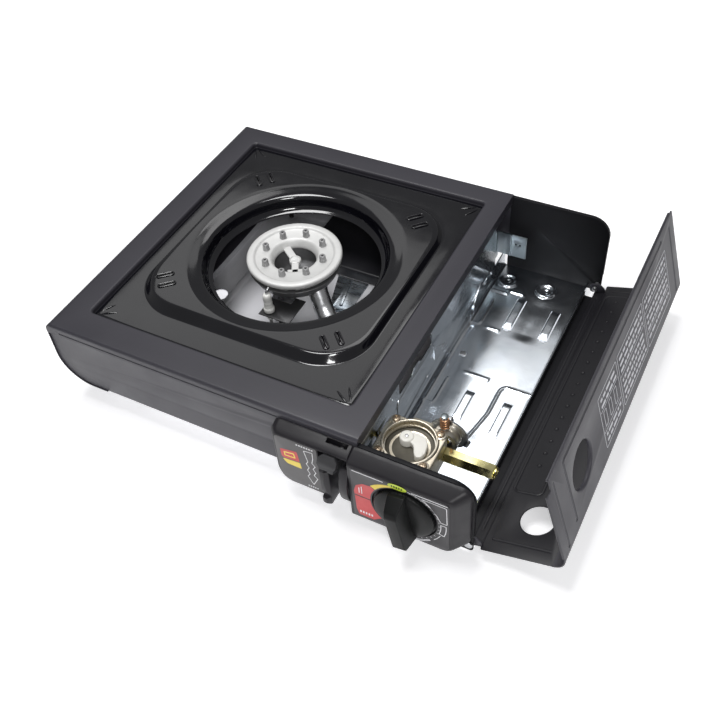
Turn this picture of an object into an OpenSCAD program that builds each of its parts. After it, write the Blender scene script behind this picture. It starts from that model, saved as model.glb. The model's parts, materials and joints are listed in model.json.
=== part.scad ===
// Portable gas stove for a horizontal cartridge: burner at the left, cartridge bay at the right,
// L-shaped bay cover on a hinge, control panel at the front. +Z up, front towards -Y, table at z = 0.

/* [Body] */
// Width of the body without the open cover
body_w = 340; // [336:1:346]
// Depth of the body, front skirt to rear skirt
body_d = 275; // [270:1:282]
// Height of the casing top above the table
deck_h = 78; // [76:0.5:80]
// Thickness of the sheet steel
sheet = 0.8; // [0.6:0.1:1.0]
// Position across the body where the casing ends and the cartridge bay begins
bay_x = 258; // [256:0.5:260]
// Height of the casing's lower edge above the table
skirt_z = 20; // [18:1:22]

/* [Hob] */
// Left edge of the recess for the pan support
rec_x1 = 24.5; // [23:0.5:26]
// Right edge of the recess
rec_x2 = 241; // [240:0.5:243]
// Front edge of the recess
rec_y1 = 24.5; // [23:0.5:26]
// Rear edge of the recess
rec_y2 = 254.5; // [252:0.5:256]
// Depth of the pan support flange under the casing top
rec_drop = 4; // [3:0.5:5]
// Centre of the burner across the body
burner_x = 131; // [130:0.5:134]
// Centre of the burner from the front
burner_y = 140; // [138:0.5:142]
// Radius of the burner head
burner_r = 37; // [35:0.5:38]
// Radius of the hob opening at its top edge
hole_r = 72; // [70:0.5:74]
// Radius of the hob opening at its lower lip
lip_r = 65.5; // [64:0.5:67]

/* [Cartridge bay] */
// Axis of the gas cartridge across the body
axis_x = 296; // [295:0.5:297]
// Axis of the gas cartridge above the table
axis_z = 38; // [37.5:0.1:38.5]
// Height of the tray floor's upper face
tray_z = 3.8; // [3.4:0.1:4.2]
// Front face of the locating flange, where the cartridge seats
flange_y = 59.5; // [59:0.5:60]
// Stroke of the cartridge clamp
clamp_stroke = 8; // [7:0.5:8]

/* [Cover] */
// Hinge pin across the body
hinge_x = 336; // [335:0.5:337]
// Hinge pin above the table
hinge_z = 10; // [9.5:0.5:11]
// Angle from closed to the position drawn
cover_open = 74; // [0:1:76]
// Outer height of the closed cover
cover_h = 77; // [76.8:0.1:77.4]
// Width of the cover's top face
cover_w = 78.5; // [76:0.5:80]
// Outer radius of the cover's fold
cover_r = 10; // [6:1:12]

/* [Controls] */
// Radius of the knob's disc
knob_r = 21.5; // [20:0.5:22.5]
// How far the knob's grip stands out of the panel's face
knob_out = 16.5; // [12:0.5:18]
// Elevation of the lock lever's arm when open
lever_up = 29; // [26:1:29]

/* [Hidden] */
$fn = 64;
t = sheet;
kx = axis_x; kz = axis_z;              // the knob shares the cartridge axis
face_y = -12;                          // front of the knob panel
face2_y = -10;                         // front of the lever panel
piv_y = 22; piv_z = 39;                // lock lever pivot
crank_r = clamp_stroke/(2*sin(lever_up));
deck_in = deck_h - t;
plate_z = deck_h - rec_drop;           // top of the pan support's flange
ledge_z = plate_z - t;                 // ledge of the casing under it
co = cos(cover_open); so = sin(cover_open);
fold_cx = body_w + 0.5 - cover_r - hinge_x;
fold_cz = cover_h - cover_r - hinge_z;
x_max = hinge_x + fold_cx*co + fold_cz*so + cover_r;   // outermost point of the open cover
y_min = face_y - knob_out;
ox = x_max/2; oy = (body_d + y_min)/2;

// ---------- helpers ----------
// rectangle with its own radius at each corner: lower left, lower right, upper right, upper left
module rr4(x0, y0, x1, y1, r) {
  difference() {
    translate([x0, y0]) square([x1 - x0, y1 - y0]);
    for (c = [[x0, y0, 1, 1, r[0]], [x1, y0, -1, 1, r[1]], [x1, y1, -1, -1, r[2]], [x0, y1, 1, -1, r[3]]])
      if (c[4] > 0)
        difference() {
          translate([c[0] + (c[2] > 0 ? -1 : -c[4]), c[1] + (c[3] > 0 ? -1 : -c[4])]) square([c[4] + 1, c[4] + 1]);
          translate([c[0] + c[2]*c[4], c[1] + c[3]*c[4]]) circle(c[4]);
        }
  }
}
module rr(x0, y0, x1, y1, r) rr4(x0, y0, x1, y1, [r, r, r, r]);
// a profile drawn in X and Z, extruded from y0 to y1
module xz(y0, y1) translate([0, y1, 0]) rotate([90, 0, 0]) linear_extrude(y1 - y0) children();
// a profile drawn in Y and Z, extruded from x0 to x1
module yz(x0, x1) translate([x0, 0, 0]) rotate([90, 0, 90]) linear_extrude(x1 - x0) children();
module box(x0, y0, z0, x1, y1, z1) translate([x0, y0, z0]) cube([x1 - x0, y1 - y0, z1 - z0]);
module ycyl(x, z, y0, y1, r, f = 64) translate([x, y1, z]) rotate([90, 0, 0]) cylinder(h = y1 - y0, r = r, $fn = f);
module xcyl(y, z, x0, x1, r, f = 48) translate([x0, y, z]) rotate([0, 90, 0]) cylinder(h = x1 - x0, r = r, $fn = f);
module zcyl(x, y, z0, z1, r, f = 64) translate([x, y, z0]) cylinder(h = z1 - z0, r = r, $fn = f);
// cylinder between two points
module rod(a, b, r, f = 48) {
  d = b - a; l = norm(d);
  translate(a) rotate([0, acos(d[2]/l), atan2(d[1], d[0])]) cylinder(h = l, r = r, $fn = f);
}
module place() translate([-ox, -oy, 0]) children();

// ---------- casing ----------
module left_profile(i) // outline of the body's left end, inset by i
  rr4(i, skirt_z + i, 60, deck_h - i, [26 - i, 0, 0, 6 - i]);
module top_casing() color([0.16, 0.16, 0.18]) place() {
  difference() {
    union() {
      // deck with the recess opening and its turned-down edge
      difference() {
        box(5, 0, deck_in, bay_x, body_d, deck_h);
        translate([0, 0, deck_in - 1]) linear_extrude(4) rr(rec_x1, rec_y1, rec_x2, rec_y2, 3);
      }
      translate([0, 0, ledge_z - t]) linear_extrude(deck_h - ledge_z + t) difference() {
        rr(rec_x1 - t, rec_y1 - t, rec_x2 + t, rec_y2 + t, 3 + t);
        rr(rec_x1, rec_y1, rec_x2, rec_y2, 3);
      }
      // ledge that carries the pan support
      translate([0, 0, ledge_z - t]) linear_extrude(t) difference() {
        rr(rec_x1 - t, rec_y1 - t, rec_x2 + t, rec_y2 + t, 3 + t);
        rr(rec_x1 + 9, rec_y1 + 9, rec_x2 - 9, rec_y2 - 9, 6);
      }
      // left end, rolled in under the body
      xz(0, body_d) difference() {
        intersection() { left_profile(0); union() { translate([-1, 0]) square([13, 100]); translate([-1, 0]) square([41, 40]); } }
        left_profile(t);
      }
      // front and rear lips, right flange
      yz(5, bay_x) difference() { rr4(0, 69, 20, deck_h, [0, 0, 0, 3]); rr4(t, 60, 30, deck_in, [0, 0, 0, 3 - t]); }
      yz(5, bay_x) difference() { rr4(body_d - 20, 69, body_d, deck_h, [0, 0, 3, 0]); rr4(body_d - 30, 60, body_d - t, deck_in, [0, 0, 3 - t, 0]); }
      box(bay_x - t, 0, 70, bay_x, body_d, deck_h);
    }
    // round the deck's front and rear edges
    yz(-1, bay_x + 1) difference() { translate([-1, deck_h - 3]) square([4, 4]); translate([3, deck_h - 3]) circle(3); }
    yz(-1, bay_x + 1) difference() { translate([body_d - 3, deck_h - 3]) square([4, 4]); translate([body_d - 3, deck_h - 3]) circle(3); }
  }
}
module skirt_plate(y0) xz(y0, y0 + t) difference() {
  rr4(t + 0.05, skirt_z + t + 0.02, bay_x - t, deck_in - 2.5, [25, 0, 0, 5]);
  children();
}
module front_skirt() color([0.3, 0.29, 0.31]) place()
  skirt_plate(t + 0.05) {
    translate([241.5, 20]) square([7.2, 38]);
    for (p = [[214, 40], [214, 62]]) translate(p) circle(1.6, $fn = 24);
  }
module rear_skirt() color([0.2, 0.2, 0.22]) place()
  skirt_plate(body_d - 2*t - 0.05) {
    for (i = [0:6]) translate([70 + i*20, 44]) rr(-6, -2, 6, 2, 1.9);
    for (p = [[20, 60], [238, 60]]) translate(p) circle(1.6, $fn = 24);
  }
module bottom_pan() color([0.72, 0.74, 0.77]) place() difference() {
  union() {
    box(36, 11, 9, 246, 267, 9 + t);
    box(36, 11, 9, 36 + t, 267, skirt_z);
    box(27, 11, skirt_z - t, 36 + t, 267, skirt_z);
    box(36, 11, 9, 246, 11 + t, 30);
    box(36, 2*t + 0.05, 30 - t, 246, 11 + t, 30);
    box(36, 267 - t, 9, 246, 267, 30);
    box(36, 267 - t, 30 - t, 246, body_d - 2*t - 0.05, 30);
    box(246 - t, 11, 9, 246, 267, 30);
    box(246 - t, 11, 30 - t, 254.6, 267, 30);
    translate([0, 0, 9]) linear_extrude(1.6) difference() { rr(60, 60, 226, 232, 12); rr(61.5, 61.5, 224.5, 230.5, 11); }
  }
  zcyl(52.5, 134.5, 8, 11, 6.4, 48);
  zcyl(210, 134.5, 8, 11, 6.4, 48);
  for (i = [0:4]) translate([0, 0, 8]) linear_extrude(3) rr(100 + i*16, 36, 108 + i*16, 40, 1.9);
  for (x = [56, 232], y = [26, 249]) zcyl(x, y, 8, 11, 2.1, 32);
  // cut-outs for the rolled end, the lead, the lever, the clamp and the venturi
  box(26, -1, skirt_z - 0.04, 40.1, 300, skirt_z + t + 0.05);
  box(244, 9.5, 8.8, 247, 16.5, 16);
  box(236.5, 1, 28, 256, 12.5, 31);
  box(241.6, 1, 20, 250, 17, 31);
  box(244, 15, 28, 252.4, 36, 31);
  box(249.2, 5, 28, 252.4, 268, 31);
  box(249.2, 251, 28, 256, 268, 31);
  rod(vt0 - vtd*14, vt0 + vtd*12, 9.8);
}
module rear_crossmember() color([0.09, 0.09, 0.1]) place()
  yz(98, 244) difference() {
    rr4(196, 10.6, 262, 21, [0, 0, 2, 2]);
    rr4(198, 8, 260, 20.2, [0, 0, 1.2, 1.2]);
  }
module feet() color([0.08, 0.08, 0.08]) place() {
  for (x = [56, 232], y = [26, 249]) {
    translate([x, y, 0]) rotate_extrude() polygon([[0, 0], [8, 0], [9, 1], [9.5, 9], [0, 9]]);
    zcyl(x, y, 8.9, 12, 2.1, 32);
  }
  for (y = [24, 246]) translate([318, y, 0]) rotate_extrude() polygon([[0, 0], [6, 0], [7, 0.6], [7, 3], [0, 3]]);
}

// ---------- cartridge bay ----------
module dimple(x, y) translate([x, y, tray_z - t]) rotate_extrude() polygon([[5, 0], [9, 0], [8.4, t + 1], [7.4, t + 1.5], [6, t + 1.5], [5, t + 1]]);
module tab(x, y0, y1) { // lanced tongue that steadies the cartridge
  box(x - 3.4, y0, tray_z - t, x - 2.6, y1, tray_z + 1.6);
  box(x + 2.6, y0, tray_z - t, x + 3.4, y1, tray_z + 1.6);
  box(x - 3.4, y0, tray_z + 0.8, x + 3.4, y1, tray_z + 1.6);
}
module cartridge_tray() color([0.78, 0.82, 0.86]) place() difference() {
  union() {
    box(254.6, 2, tray_z - t, 329, 272, tray_z);
    box(254.6, 2, tray_z - t, 254.6 + t, 272, 70);
    box(254.6, 2, 70 - t, bay_x - t, 272, 70);
    box(329 - t, 2, tray_z - t, 329, 272, 9);
    for (x = [266, 299]) dimple(x, 253);
    tab(285, 199, 236);
    tab(285, 96, 127);
    tab(315.2, 199, 233);
    tab(315.2, 92, 127);
    // embossed lines
    box(258, 236.2, tray_z, 271, 237.6, tray_z + 0.9);
    box(272, 142, tray_z, 292, 143.4, tray_z + 0.9);
    box(303.6, 140, tray_z, 327, 141.4, tray_z + 0.9);
    box(303.6, 86, tray_z, 305, 141.4, tray_z + 0.9);
    box(262.5, 196, tray_z, 263.7, 226, tray_z + 0.9);
    box(256, 195, tray_z, 263.7, 196.2, tray_z + 0.9);
  }
  // cut-outs in the wall for the clamp, the gas jet, the lead and the lever
  box(254, 247, 21, 258, 273, 68);
  box(254, 66, 50, 258, 120, 68);
  xcyl(37, 36.5, 254, 256, 7);
  xcyl(8, 13, 254, 256, 2.4, 24);
  box(254, 11, 42.5, 256, 33, 51);
  for (y = [112, 222]) xcyl(y, 23, 254, 256, 1.5, 24);
  for (x = [285, 315.2], y = [[198, 200], [126, 128]]) box(x - 2, y[0], 2, x + 2, y[1], 4);
  for (y = [76, 160]) zcyl(264, y, 2, 5, 2, 24);
  zcyl(318, 24, 2, 5, 1.6, 24);
}
// painted rail along the open side of the bay, outside the tray's lip
module bay_sill() color([0.08, 0.08, 0.09]) place() {
  box(329.05, 4.6, 3.8, 336.2, 261, 4.6);
  box(329.05, 4.6, 3.8, 329.85, 261, 9.2);
}
module front_end_plate() color([0.14, 0.14, 0.16]) place() difference() {
  union() {
    xz(0, t) rr4(bay_x, tray_z - t, body_w - 0.7, 72.6, [0, 3, 16, 0]);
    xz(0, 3) difference() {
      rr4(bay_x, tray_z - t, body_w - 0.7, 72.6, [0, 3, 16, 0]);
      rr4(bay_x - 1, tray_z - t - 2, body_w - 0.7 - t, 72.6 - t, [0, 2, 16 - t, 0]);
    }
  }
  ycyl(kx, kz, -1, 2, 9);
  for (p = [[264, 20], [328, 20], [270, 62], [322, 62]]) ycyl(p[0], p[1], -1, 2, 1.6, 24);
  ycyl(hinge_x, hinge_z, -1, 2, 2, 32);
  box(hinge_x - 9, 1.2, 0, body_w + 1, 5, 20);
}
module rear_end_wall() color([0.1, 0.1, 0.11]) place() difference() {
  union() {
    xz(272.1, 272.1 + t) rr4(bay_x - t, tray_z - t, body_w - 0.7, 75.7, [0, 3, 16, 0]);
    xz(272.1, body_d) difference() {
      rr4(bay_x, tray_z - t, body_w - 0.7, 75.7, [0, 3, 16, 0]);
      rr4(bay_x - 1, tray_z, body_w - 0.7 - t, 75.7 - t, [0, 2, 16 - t, 0]);
    }
  }
  ycyl(hinge_x, hinge_z, 271, 274, 2, 32);
  box(hinge_x - 9, 272.9, 0, body_w + 1, 276, 20);
  box(bay_x - 2, 271, 69.9, bay_x + 0.02, 276, 80);
}
module heat_plate() color([0.66, 0.7, 0.74]) place() difference() {
  union() {
    translate([0, 0, 9 + t]) linear_extrude(t) polygon([[147, 152], [163, 162], [163, 195.4], [134, 195.4], [140.5, 174]]);
    translate([153.5, 163, 9 + t]) rotate([0, 0, 12]) translate([-1.2, 0, 0]) cube([2.4, 31, 2.2]);
  }
  zcyl(149.5, 158, 8, 12, 1.7, 24);
}

// ---------- burner ----------
module burner_head() color([0.93, 0.93, 0.93]) place() translate([burner_x, burner_y, 0]) difference() {
  union() {
    rotate_extrude($fn = 96) polygon([[16.4, 69.6], [16.4, 71.2], [18.6, 76], [19.6, 76.6], [30.6, 76.9], [31.2, 78.3], [36.2, 78.3], [burner_r, 77.5], [burner_r, 75],
      [33.5, 73.4], [31, 73.4], [31, 67.2], [30, 67.2], [30, 75], [20.5, 75], [17.6, 69.6]]);
    // hub in the middle, held by a bar on one side and a broad foot on the other
    rotate([0, 0, 143.5]) translate([0, -3, 69.6]) cube([17.2, 6, 2.2]);
    translate([0, 0, 69.2]) cylinder(h = 3, r = 4.6);
    rotate([0, 0, -60]) translate([0, -2.8, 69.6]) cube([17, 5.6, 2.2]);
    rotate([0, 0, -60]) translate([10.5, -6, 69.6]) cube([6.4, 12, 2.2]);
    // bosses of the port holes
    for (i = [0:7]) rotate([0, 0, 7 + i*45]) translate([23.7, 0, 75.2]) cylinder(h = 6.9, r1 = 2.6, r2 = 2.3, $fn = 32);
  }
  for (i = [0:7]) rotate([0, 0, 7 + i*45]) translate([23.7, 0, 70]) cylinder(h = 14, r = 0.9, $fn = 24);
  // flame ports under the rim
  for (i = [0:23]) rotate([0, 0, i*15]) translate([29.5, -1, 69]) cube([3, 2, 3]);
}
module burner_base() color([0.55, 0.56, 0.58]) place() translate([burner_x, burner_y, 0]) difference() {
  rotate_extrude($fn = 96) polygon([[0, 51], [13, 51], [16, 53], [27, 57], [33, 63], [33.6, 68.6], [35.8, 69.2], [35.8, 70.2], [32.6, 70.2], [32, 68.6], [31.4, 63.4], [26.4, 58.4], [15.4, 54.4], [12.6, 52.4], [0, 52.4]]);
  translate([-burner_x, -burner_y, 0]) rod(vt1, vt2 + (vt2 - vt1)*0.3, 7.5);
}
module burner_bracket() color([0.62, 0.64, 0.67]) place() translate([burner_x, burner_y, 0]) difference() {
  union() {
    translate([-21, -9, 50.2]) cube([42, 18, 0.8]);
    for (s = [-1, 1]) translate([s*21 - (s > 0 ? 0.8 : 0), -9, 9 + t]) cube([0.8, 18, 51 - 9 - t]);
    for (s = [-1, 1]) translate([s > 0 ? 20.2 : -33, -9, 9 + t]) cube([12.8, 18, 0.8]);
    translate([-9, -26, 50.2]) cube([18, 18, 0.8]);
    translate([-9, -26, 44.2]) cube([18, 0.8, 6.8]);
  }
  for (s = [-1, 1]) translate([s*27, 0, 8]) cylinder(h = 5, r = 2, $fn = 24);
  translate([0, 0, 49]) cylinder(h = 4, r = 3, $fn = 24);
}
vt0 = [244.5, 46.9, 37.3]; vt1 = [167, 119.5, 46]; vt2 = [155, 129.5, 59];
vtd = (vt0 - vt1)/norm(vt0 - vt1);
module venturi_tube() color([0.8, 0.81, 0.83]) place() difference() {
  union() {
    rod(vt1, vt0, 7.5);
    translate(vt1) sphere(7.5, $fn = 48);
    rod(vt1, vt2, 7.5);
    rod(vt0 - vtd*6, vt0, 9);
  }
  rod(vt1, vt0 + vtd, 6.3);
  translate(vt1) sphere(6.3, $fn = 48);
  rod(vt1, vt2 + (vt2 - vt1)*0.1, 6.3);
  rod(vt0 - vtd*14 + [0, 0, 6], vt0 - vtd*14 + [0, 0, 12], 3, 24);
}
module gas_jet() color([0.8, 0.65, 0.3]) place() difference() {
  union() {
    rod(vt0 + vtd*17.2, vt0 + vtd*3, 3.4);
    rod(vt0 + vtd*3, vt0 - vtd*1.5, 2.2);
    rod(vt0 + vtd*10, vt0 + vtd*7.5, 4.6, 6);
  }
  rod(vt0 + vtd*18, vt0 + vtd*1, 1.4, 24);
  rod(vt0 + vtd*2, vt0 - vtd*2, 0.4, 16);
}
module electrode() color([0.8, 0.8, 0.8]) place() {
  zcyl(128.5, 100.5, 42, 70.6, 1, 24);
  rod([128.5, 100.5, 70], [129.2, 103.6, 73.2], 1, 24);
  translate([128.5, 100.5, 70.3]) sphere(1, $fn = 24);
}
module electrode_insulator() color([0.95, 0.95, 0.92]) place() translate([128.5, 100.5, 0]) difference() {
  rotate_extrude() polygon([[0, 44], [2.6, 44], [2.6, 51], [4.2, 52], [4.2, 55], [3.4, 56], [3.4, 67.5], [2.4, 69], [0, 69]]);
  translate([0, 0, 43]) cylinder(h = 28, r = 1, $fn = 24);
}
module electrode_bracket() color([0.62, 0.64, 0.67]) place() difference() {
  union() {
    box(122, 94.5, 51 - t, 140.1, 114, 51);
    box(140, 94.5, 51 - t, 149, 121, 51);
    box(139.2, 96, 44.2, 140, 113.2, 51);
    box(122, 113.2, 44.2, 140, 114.0, 51);
  }
  zcyl(128.5, 100.5, 40, 51.2, 2.6, 32);
}
// swept tube: a ring of n points at each point of the route
function ringpt(p, d, r, a) = let(u = norm(cross(d, [0, 0, 1])) > 0.2 ? cross(d, [0, 0, 1])/norm(cross(d, [0, 0, 1])) : [1, 0, 0],
  v = cross(d, u)/norm(cross(d, u))) p + r*(cos(a)*u + sin(a)*v);
function tdir(q, i) = let(a = q[max(i - 1, 0)], b = q[min(i + 1, len(q) - 1)]) (b - a)/norm(b - a);
module tube(q, r, n = 8) {
  m = len(q);
  pts = [for (i = [0:m - 1], k = [0:n - 1]) ringpt(q[i], tdir(q, i), r, k*360/n)];
  faces = concat([[for (k = [0:n - 1]) k]], [[for (k = [n - 1:-1:0]) (m - 1)*n + k]],
    [for (i = [0:m - 2], k = [0:n - 1]) [i*n + (k + 1)%n, i*n + k, (i + 1)*n + k]],
    [for (i = [0:m - 2], k = [0:n - 1]) [i*n + (k + 1)%n, (i + 1)*n + k, (i + 1)*n + (k + 1)%n]]);
  polyhedron(points = pts, faces = faces, convexity = 6);
}
lead_route = [[262, 5.5, 30], [261, 6, 23], [259, 7, 17], [255, 8, 13.6], [250, 10, 13], [243, 13, 13], [232, 17, 12.6], [216, 24, 12.4], [198, 34, 12.4], [180, 47, 12.4],
  [163, 61, 13], [148, 74, 15], [138, 84, 19], [132, 92, 25], [129.5, 97.5, 32], [128.6, 100, 38], [128.5, 100.5, 41.6]];
module ignition_lead() color([0.75, 0.75, 0.75]) place() tube(lead_route, 1.3);

// ---------- ignition ----------
module piezo_body() color([0.85, 0.83, 0.78]) place() difference() {
  union() {
    box(257.4, 1.2, 31, 275, 10.4, 45);
    xcyl(5.8, kz, 275, 278, 4, 32);
  }
  xcyl(5.8, kz, 266, 279, 2.6, 32);
}
module piezo_plunger() color([0.9, 0.9, 0.9]) place() {
  xcyl(5.8, kz, 272, kx - 9.3 - 2.4, 2.55, 32);
  intersection() {
    translate([kx - 9.3 - 2.4, 5.8, kz]) sphere(2.4, $fn = 32);
    box(kx - 9.3 - 3, 3, kz - 3, kx - 9.3, 9, kz + 3);
  }
}

// ---------- regulator ----------
cup = [279, 32.5];
module regulator_body() color([0.72, 0.7, 0.64]) place() difference() {
  union() {
    translate([0, 0, 30]) linear_extrude(20) rr(257.6, 12.5, 300.6, 50.5, 7);
    translate([0, 0, 50]) linear_extrude(1) difference() { translate(cup) circle(19.6); translate(cup) circle(17.6); }
    for (p = [[262.7, 46], [295.5, 46], [262.7, 17.5], [295.5, 17.5]]) zcyl(p[0], p[1], 30, 51, 4.2, 32);
    ycyl(kx, kz, 50, flange_y - 1.5, 9.8);
    ycyl(kx, kz, 9.5, 13, 8);
  }
  translate([cup[0], cup[1], 43]) cylinder(h = 12, r = 17.6);
  translate([cup[0], cup[1], 29]) cylinder(h = 4, r = 15);
  ycyl(kx, kz, 8, 30, 3.55);
  ycyl(kx, kz, 8, 12, 5.2, 32);
  ycyl(kx, kz, flange_y - 5.5, flange_y, 8.1);
  ycyl(kx, kz, flange_y - 8, flange_y - 5.4, 6);
  ycyl(kx, kz, 30, flange_y - 7.9, 1.6, 24);
  xcyl(41, kz, 290, 302, 4, 32);
  rod(vt0 + vtd*19.5, vt0 + vtd*10, 3.4);
  zcyl(275, 36.5, 40, 45, 1.2, 24);
  zcyl(294.8, 54.2, 46.6, 49, 2.2, 24);
  for (p = [[262.7, 46], [295.5, 46], [262.7, 17.5], [295.5, 17.5]]) zcyl(p[0], p[1], 42.8, 52, 1.5, 24);
}
module diaphragm() color([0.12, 0.12, 0.12]) place() translate([cup[0], cup[1], 0]) difference() {
  translate([0, 0, 29]) cylinder(h = 1, r = 18);
  translate([0, 0, 29.4]) cylinder(h = 2, r = 9);
}
module diaphragm_cover() color([0.6, 0.6, 0.58]) place() translate([cup[0], cup[1], 0]) difference() {
  rotate_extrude() polygon([[0, 22], [12, 22], [15, 24], [15.4, 27.8], [18.4, 27.8], [18.4, 29], [0, 29]]);
  translate([0, 0, 23.2]) cylinder(h = 6, r = 13.6);
  translate([0, 0, 21]) cylinder(h = 4, r = 1, $fn = 24);
}
module regulator_rocker() color([0.93, 0.92, 0.88]) place() translate([0, 0, 43.6]) difference() {
  union() {
    translate([275, 36.5, 0]) cylinder(h = 6.4, r = 5);
    translate([0, 0, 0.6]) linear_extrude(5) polygon([[273.5, 32], [279, 33.5], [282.5, 31.5], [285, 26], [288, 23.2], [291, 24.6], [291.8, 29], [290.5, 36], [287, 41], [281, 42.2], [276, 41.4]]);
    translate([288.3, 26, 0.6]) cylinder(h = 5, r = 2.9, $fn = 32);
  }
  translate([275, 36.5, -1]) cylinder(h = 9, r = 1.25, $fn = 32);
}
module rocker_pin() color([0.8, 0.8, 0.8]) place() zcyl(275, 36.5, 40.2, 50.6, 1.2, 32);
module spring_post() color([0.7, 0.7, 0.7]) place() { zcyl(294.8, 54.2, 46.7, 60.6, 2.2, 32); zcyl(294.8, 54.2, 60.4, 61.2, 2.7, 32); }
module cutoff_spring() color([0.75, 0.5, 0.35]) place() translate([294.8, 54.2, 48]) union()
  for (i = [0:3]) translate([0, 0, 1 + i*3.25]) rotate_extrude() translate([2.85, 0]) circle(0.6, $fn = 16);
module locating_flange() color([0.75, 0.76, 0.76]) place() difference() {
  union() {
    ycyl(kx, kz, flange_y - 1.5, flange_y, 14);
    box(kx - 2.5, flange_y - 1.5, kz + 10, kx + 2.5, flange_y + 2, kz + 15.5);
    for (a = [200, 340]) translate([kx, 0, kz]) rotate([0, -a, 0]) translate([11, flange_y - 1.5, -4]) cube([5, 1.5, 8]);
  }
  ycyl(kx, kz, flange_y - 2, flange_y + 3, 8.1);
}
module inlet_seal() color([0.1, 0.1, 0.1]) place() translate([kx, flange_y - 6.6, kz]) rotate([90, 0, 0]) rotate_extrude() translate([4.8, 0]) circle(1.1, $fn = 32);
module inlet_nozzle() color([0.82, 0.68, 0.35]) place() difference() {
  union() { ycyl(kx, kz, flange_y - 11, flange_y - 5.6, 1.6, 24); ycyl(kx, kz, flange_y - 8, flange_y - 7.4, 3.4, 24); }
  ycyl(kx, kz, flange_y - 12, flange_y - 5, 0.6, 16);
}
module relief_cylinder() color([0.85, 0.78, 0.3]) place() difference() {
  union() {
    xcyl(41, kz, 300.6, 336.5, 5.6, 6);
    xcyl(41, kz, 293, 301, 3.95, 32);
    xcyl(41, kz, 336.4, 338, 4.2, 32);
  }
  xcyl(41, kz, 334, 339, 2, 24);
}
module regulator_screws() color([0.7, 0.68, 0.62]) place()
  for (p = [[262.7, 46], [295.5, 46], [262.7, 17.5], [295.5, 17.5]]) difference() {
    union() { zcyl(p[0], p[1], 43, 51, 1.5, 24); zcyl(p[0], p[1], 51, 52.6, 2.9, 32); }
    box(p[0] - 2, p[1] - 0.35, 52, p[0] + 2, p[1] + 0.35, 53);
  }
module valve_seal() color([0.1, 0.1, 0.1]) place() difference() {
  ycyl(kx, kz, 9.7, 12, 5.15, 32);
  ycyl(kx, kz, 9, 13, 3.6, 32);
}
module valve_shaft() color([0.75, 0.72, 0.6]) place() difference() {
  union() {
    ycyl(kx, kz, -17, 27, 3.5, 32);
    ycyl(kx, kz, 26.9, 29, 2.4, 32);
  }
  box(kx + 2.4, -18, kz - 4, kx + 4, -8, kz + 4);
}
function cam_r(a) = a >= 60 && a <= 180 ? 9 + 4*(180 - a)/120 : (a > 48 && a < 60 ? 9 + 4*(a - 48)/12 : 9);
module knob_cam() color([0.9, 0.9, 0.86]) place() difference() {
  xz(3.6, 8) translate([kx, kz]) polygon([for (a = [0:4:356]) cam_r(a)*[cos(a), sin(a)]]);
  ycyl(kx, kz, 3, 9, 3.5, 32);
}
module knob() color([0.1, 0.1, 0.1]) place() difference() {
  union() {
    translate([kx, face_y + 1.2, kz]) rotate([90, 0, 0]) rotate_extrude($fn = 96) polygon([[0, 0], [knob_r, 0], [knob_r, 3], [knob_r - 1, 4.6], [15, 5.4], [0, 5.6]]);
    // grip, set at a small angle on the disc, with a sloping end
    translate([kx, 0, kz]) rotate([0, -10, 0]) translate([-kx, 0, -kz]) difference() {
      yz(kx - 6.5, kx + 6.5) polygon([[face_y - 1, kz + 20.8], [face_y - 4.6, kz + 21.2], [face_y - knob_out + 2, kz + 16.4], [face_y - knob_out, kz + 13], [face_y - knob_out, kz - 17.5], [face_y - knob_out + 1.6, kz - 20.2], [face_y - 1, kz - 21]]);
      // the grip narrows towards its front
      translate([kx - 6.5, face_y - 3, kz - 30]) rotate([0, 0, -8.5]) translate([-8, -30, 0]) cube([8, 30, 60]);
      translate([kx + 6.5, face_y - 3, kz - 30]) rotate([0, 0, 8.5]) translate([0, -30, 0]) cube([8, 30, 60]);
    }
  }
  difference() {
    ycyl(kx, kz, -17, 0, 3.5, 32);
    box(kx + 2.4, -18, kz - 4, kx + 4, -8, kz + 4);
  }
}

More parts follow.
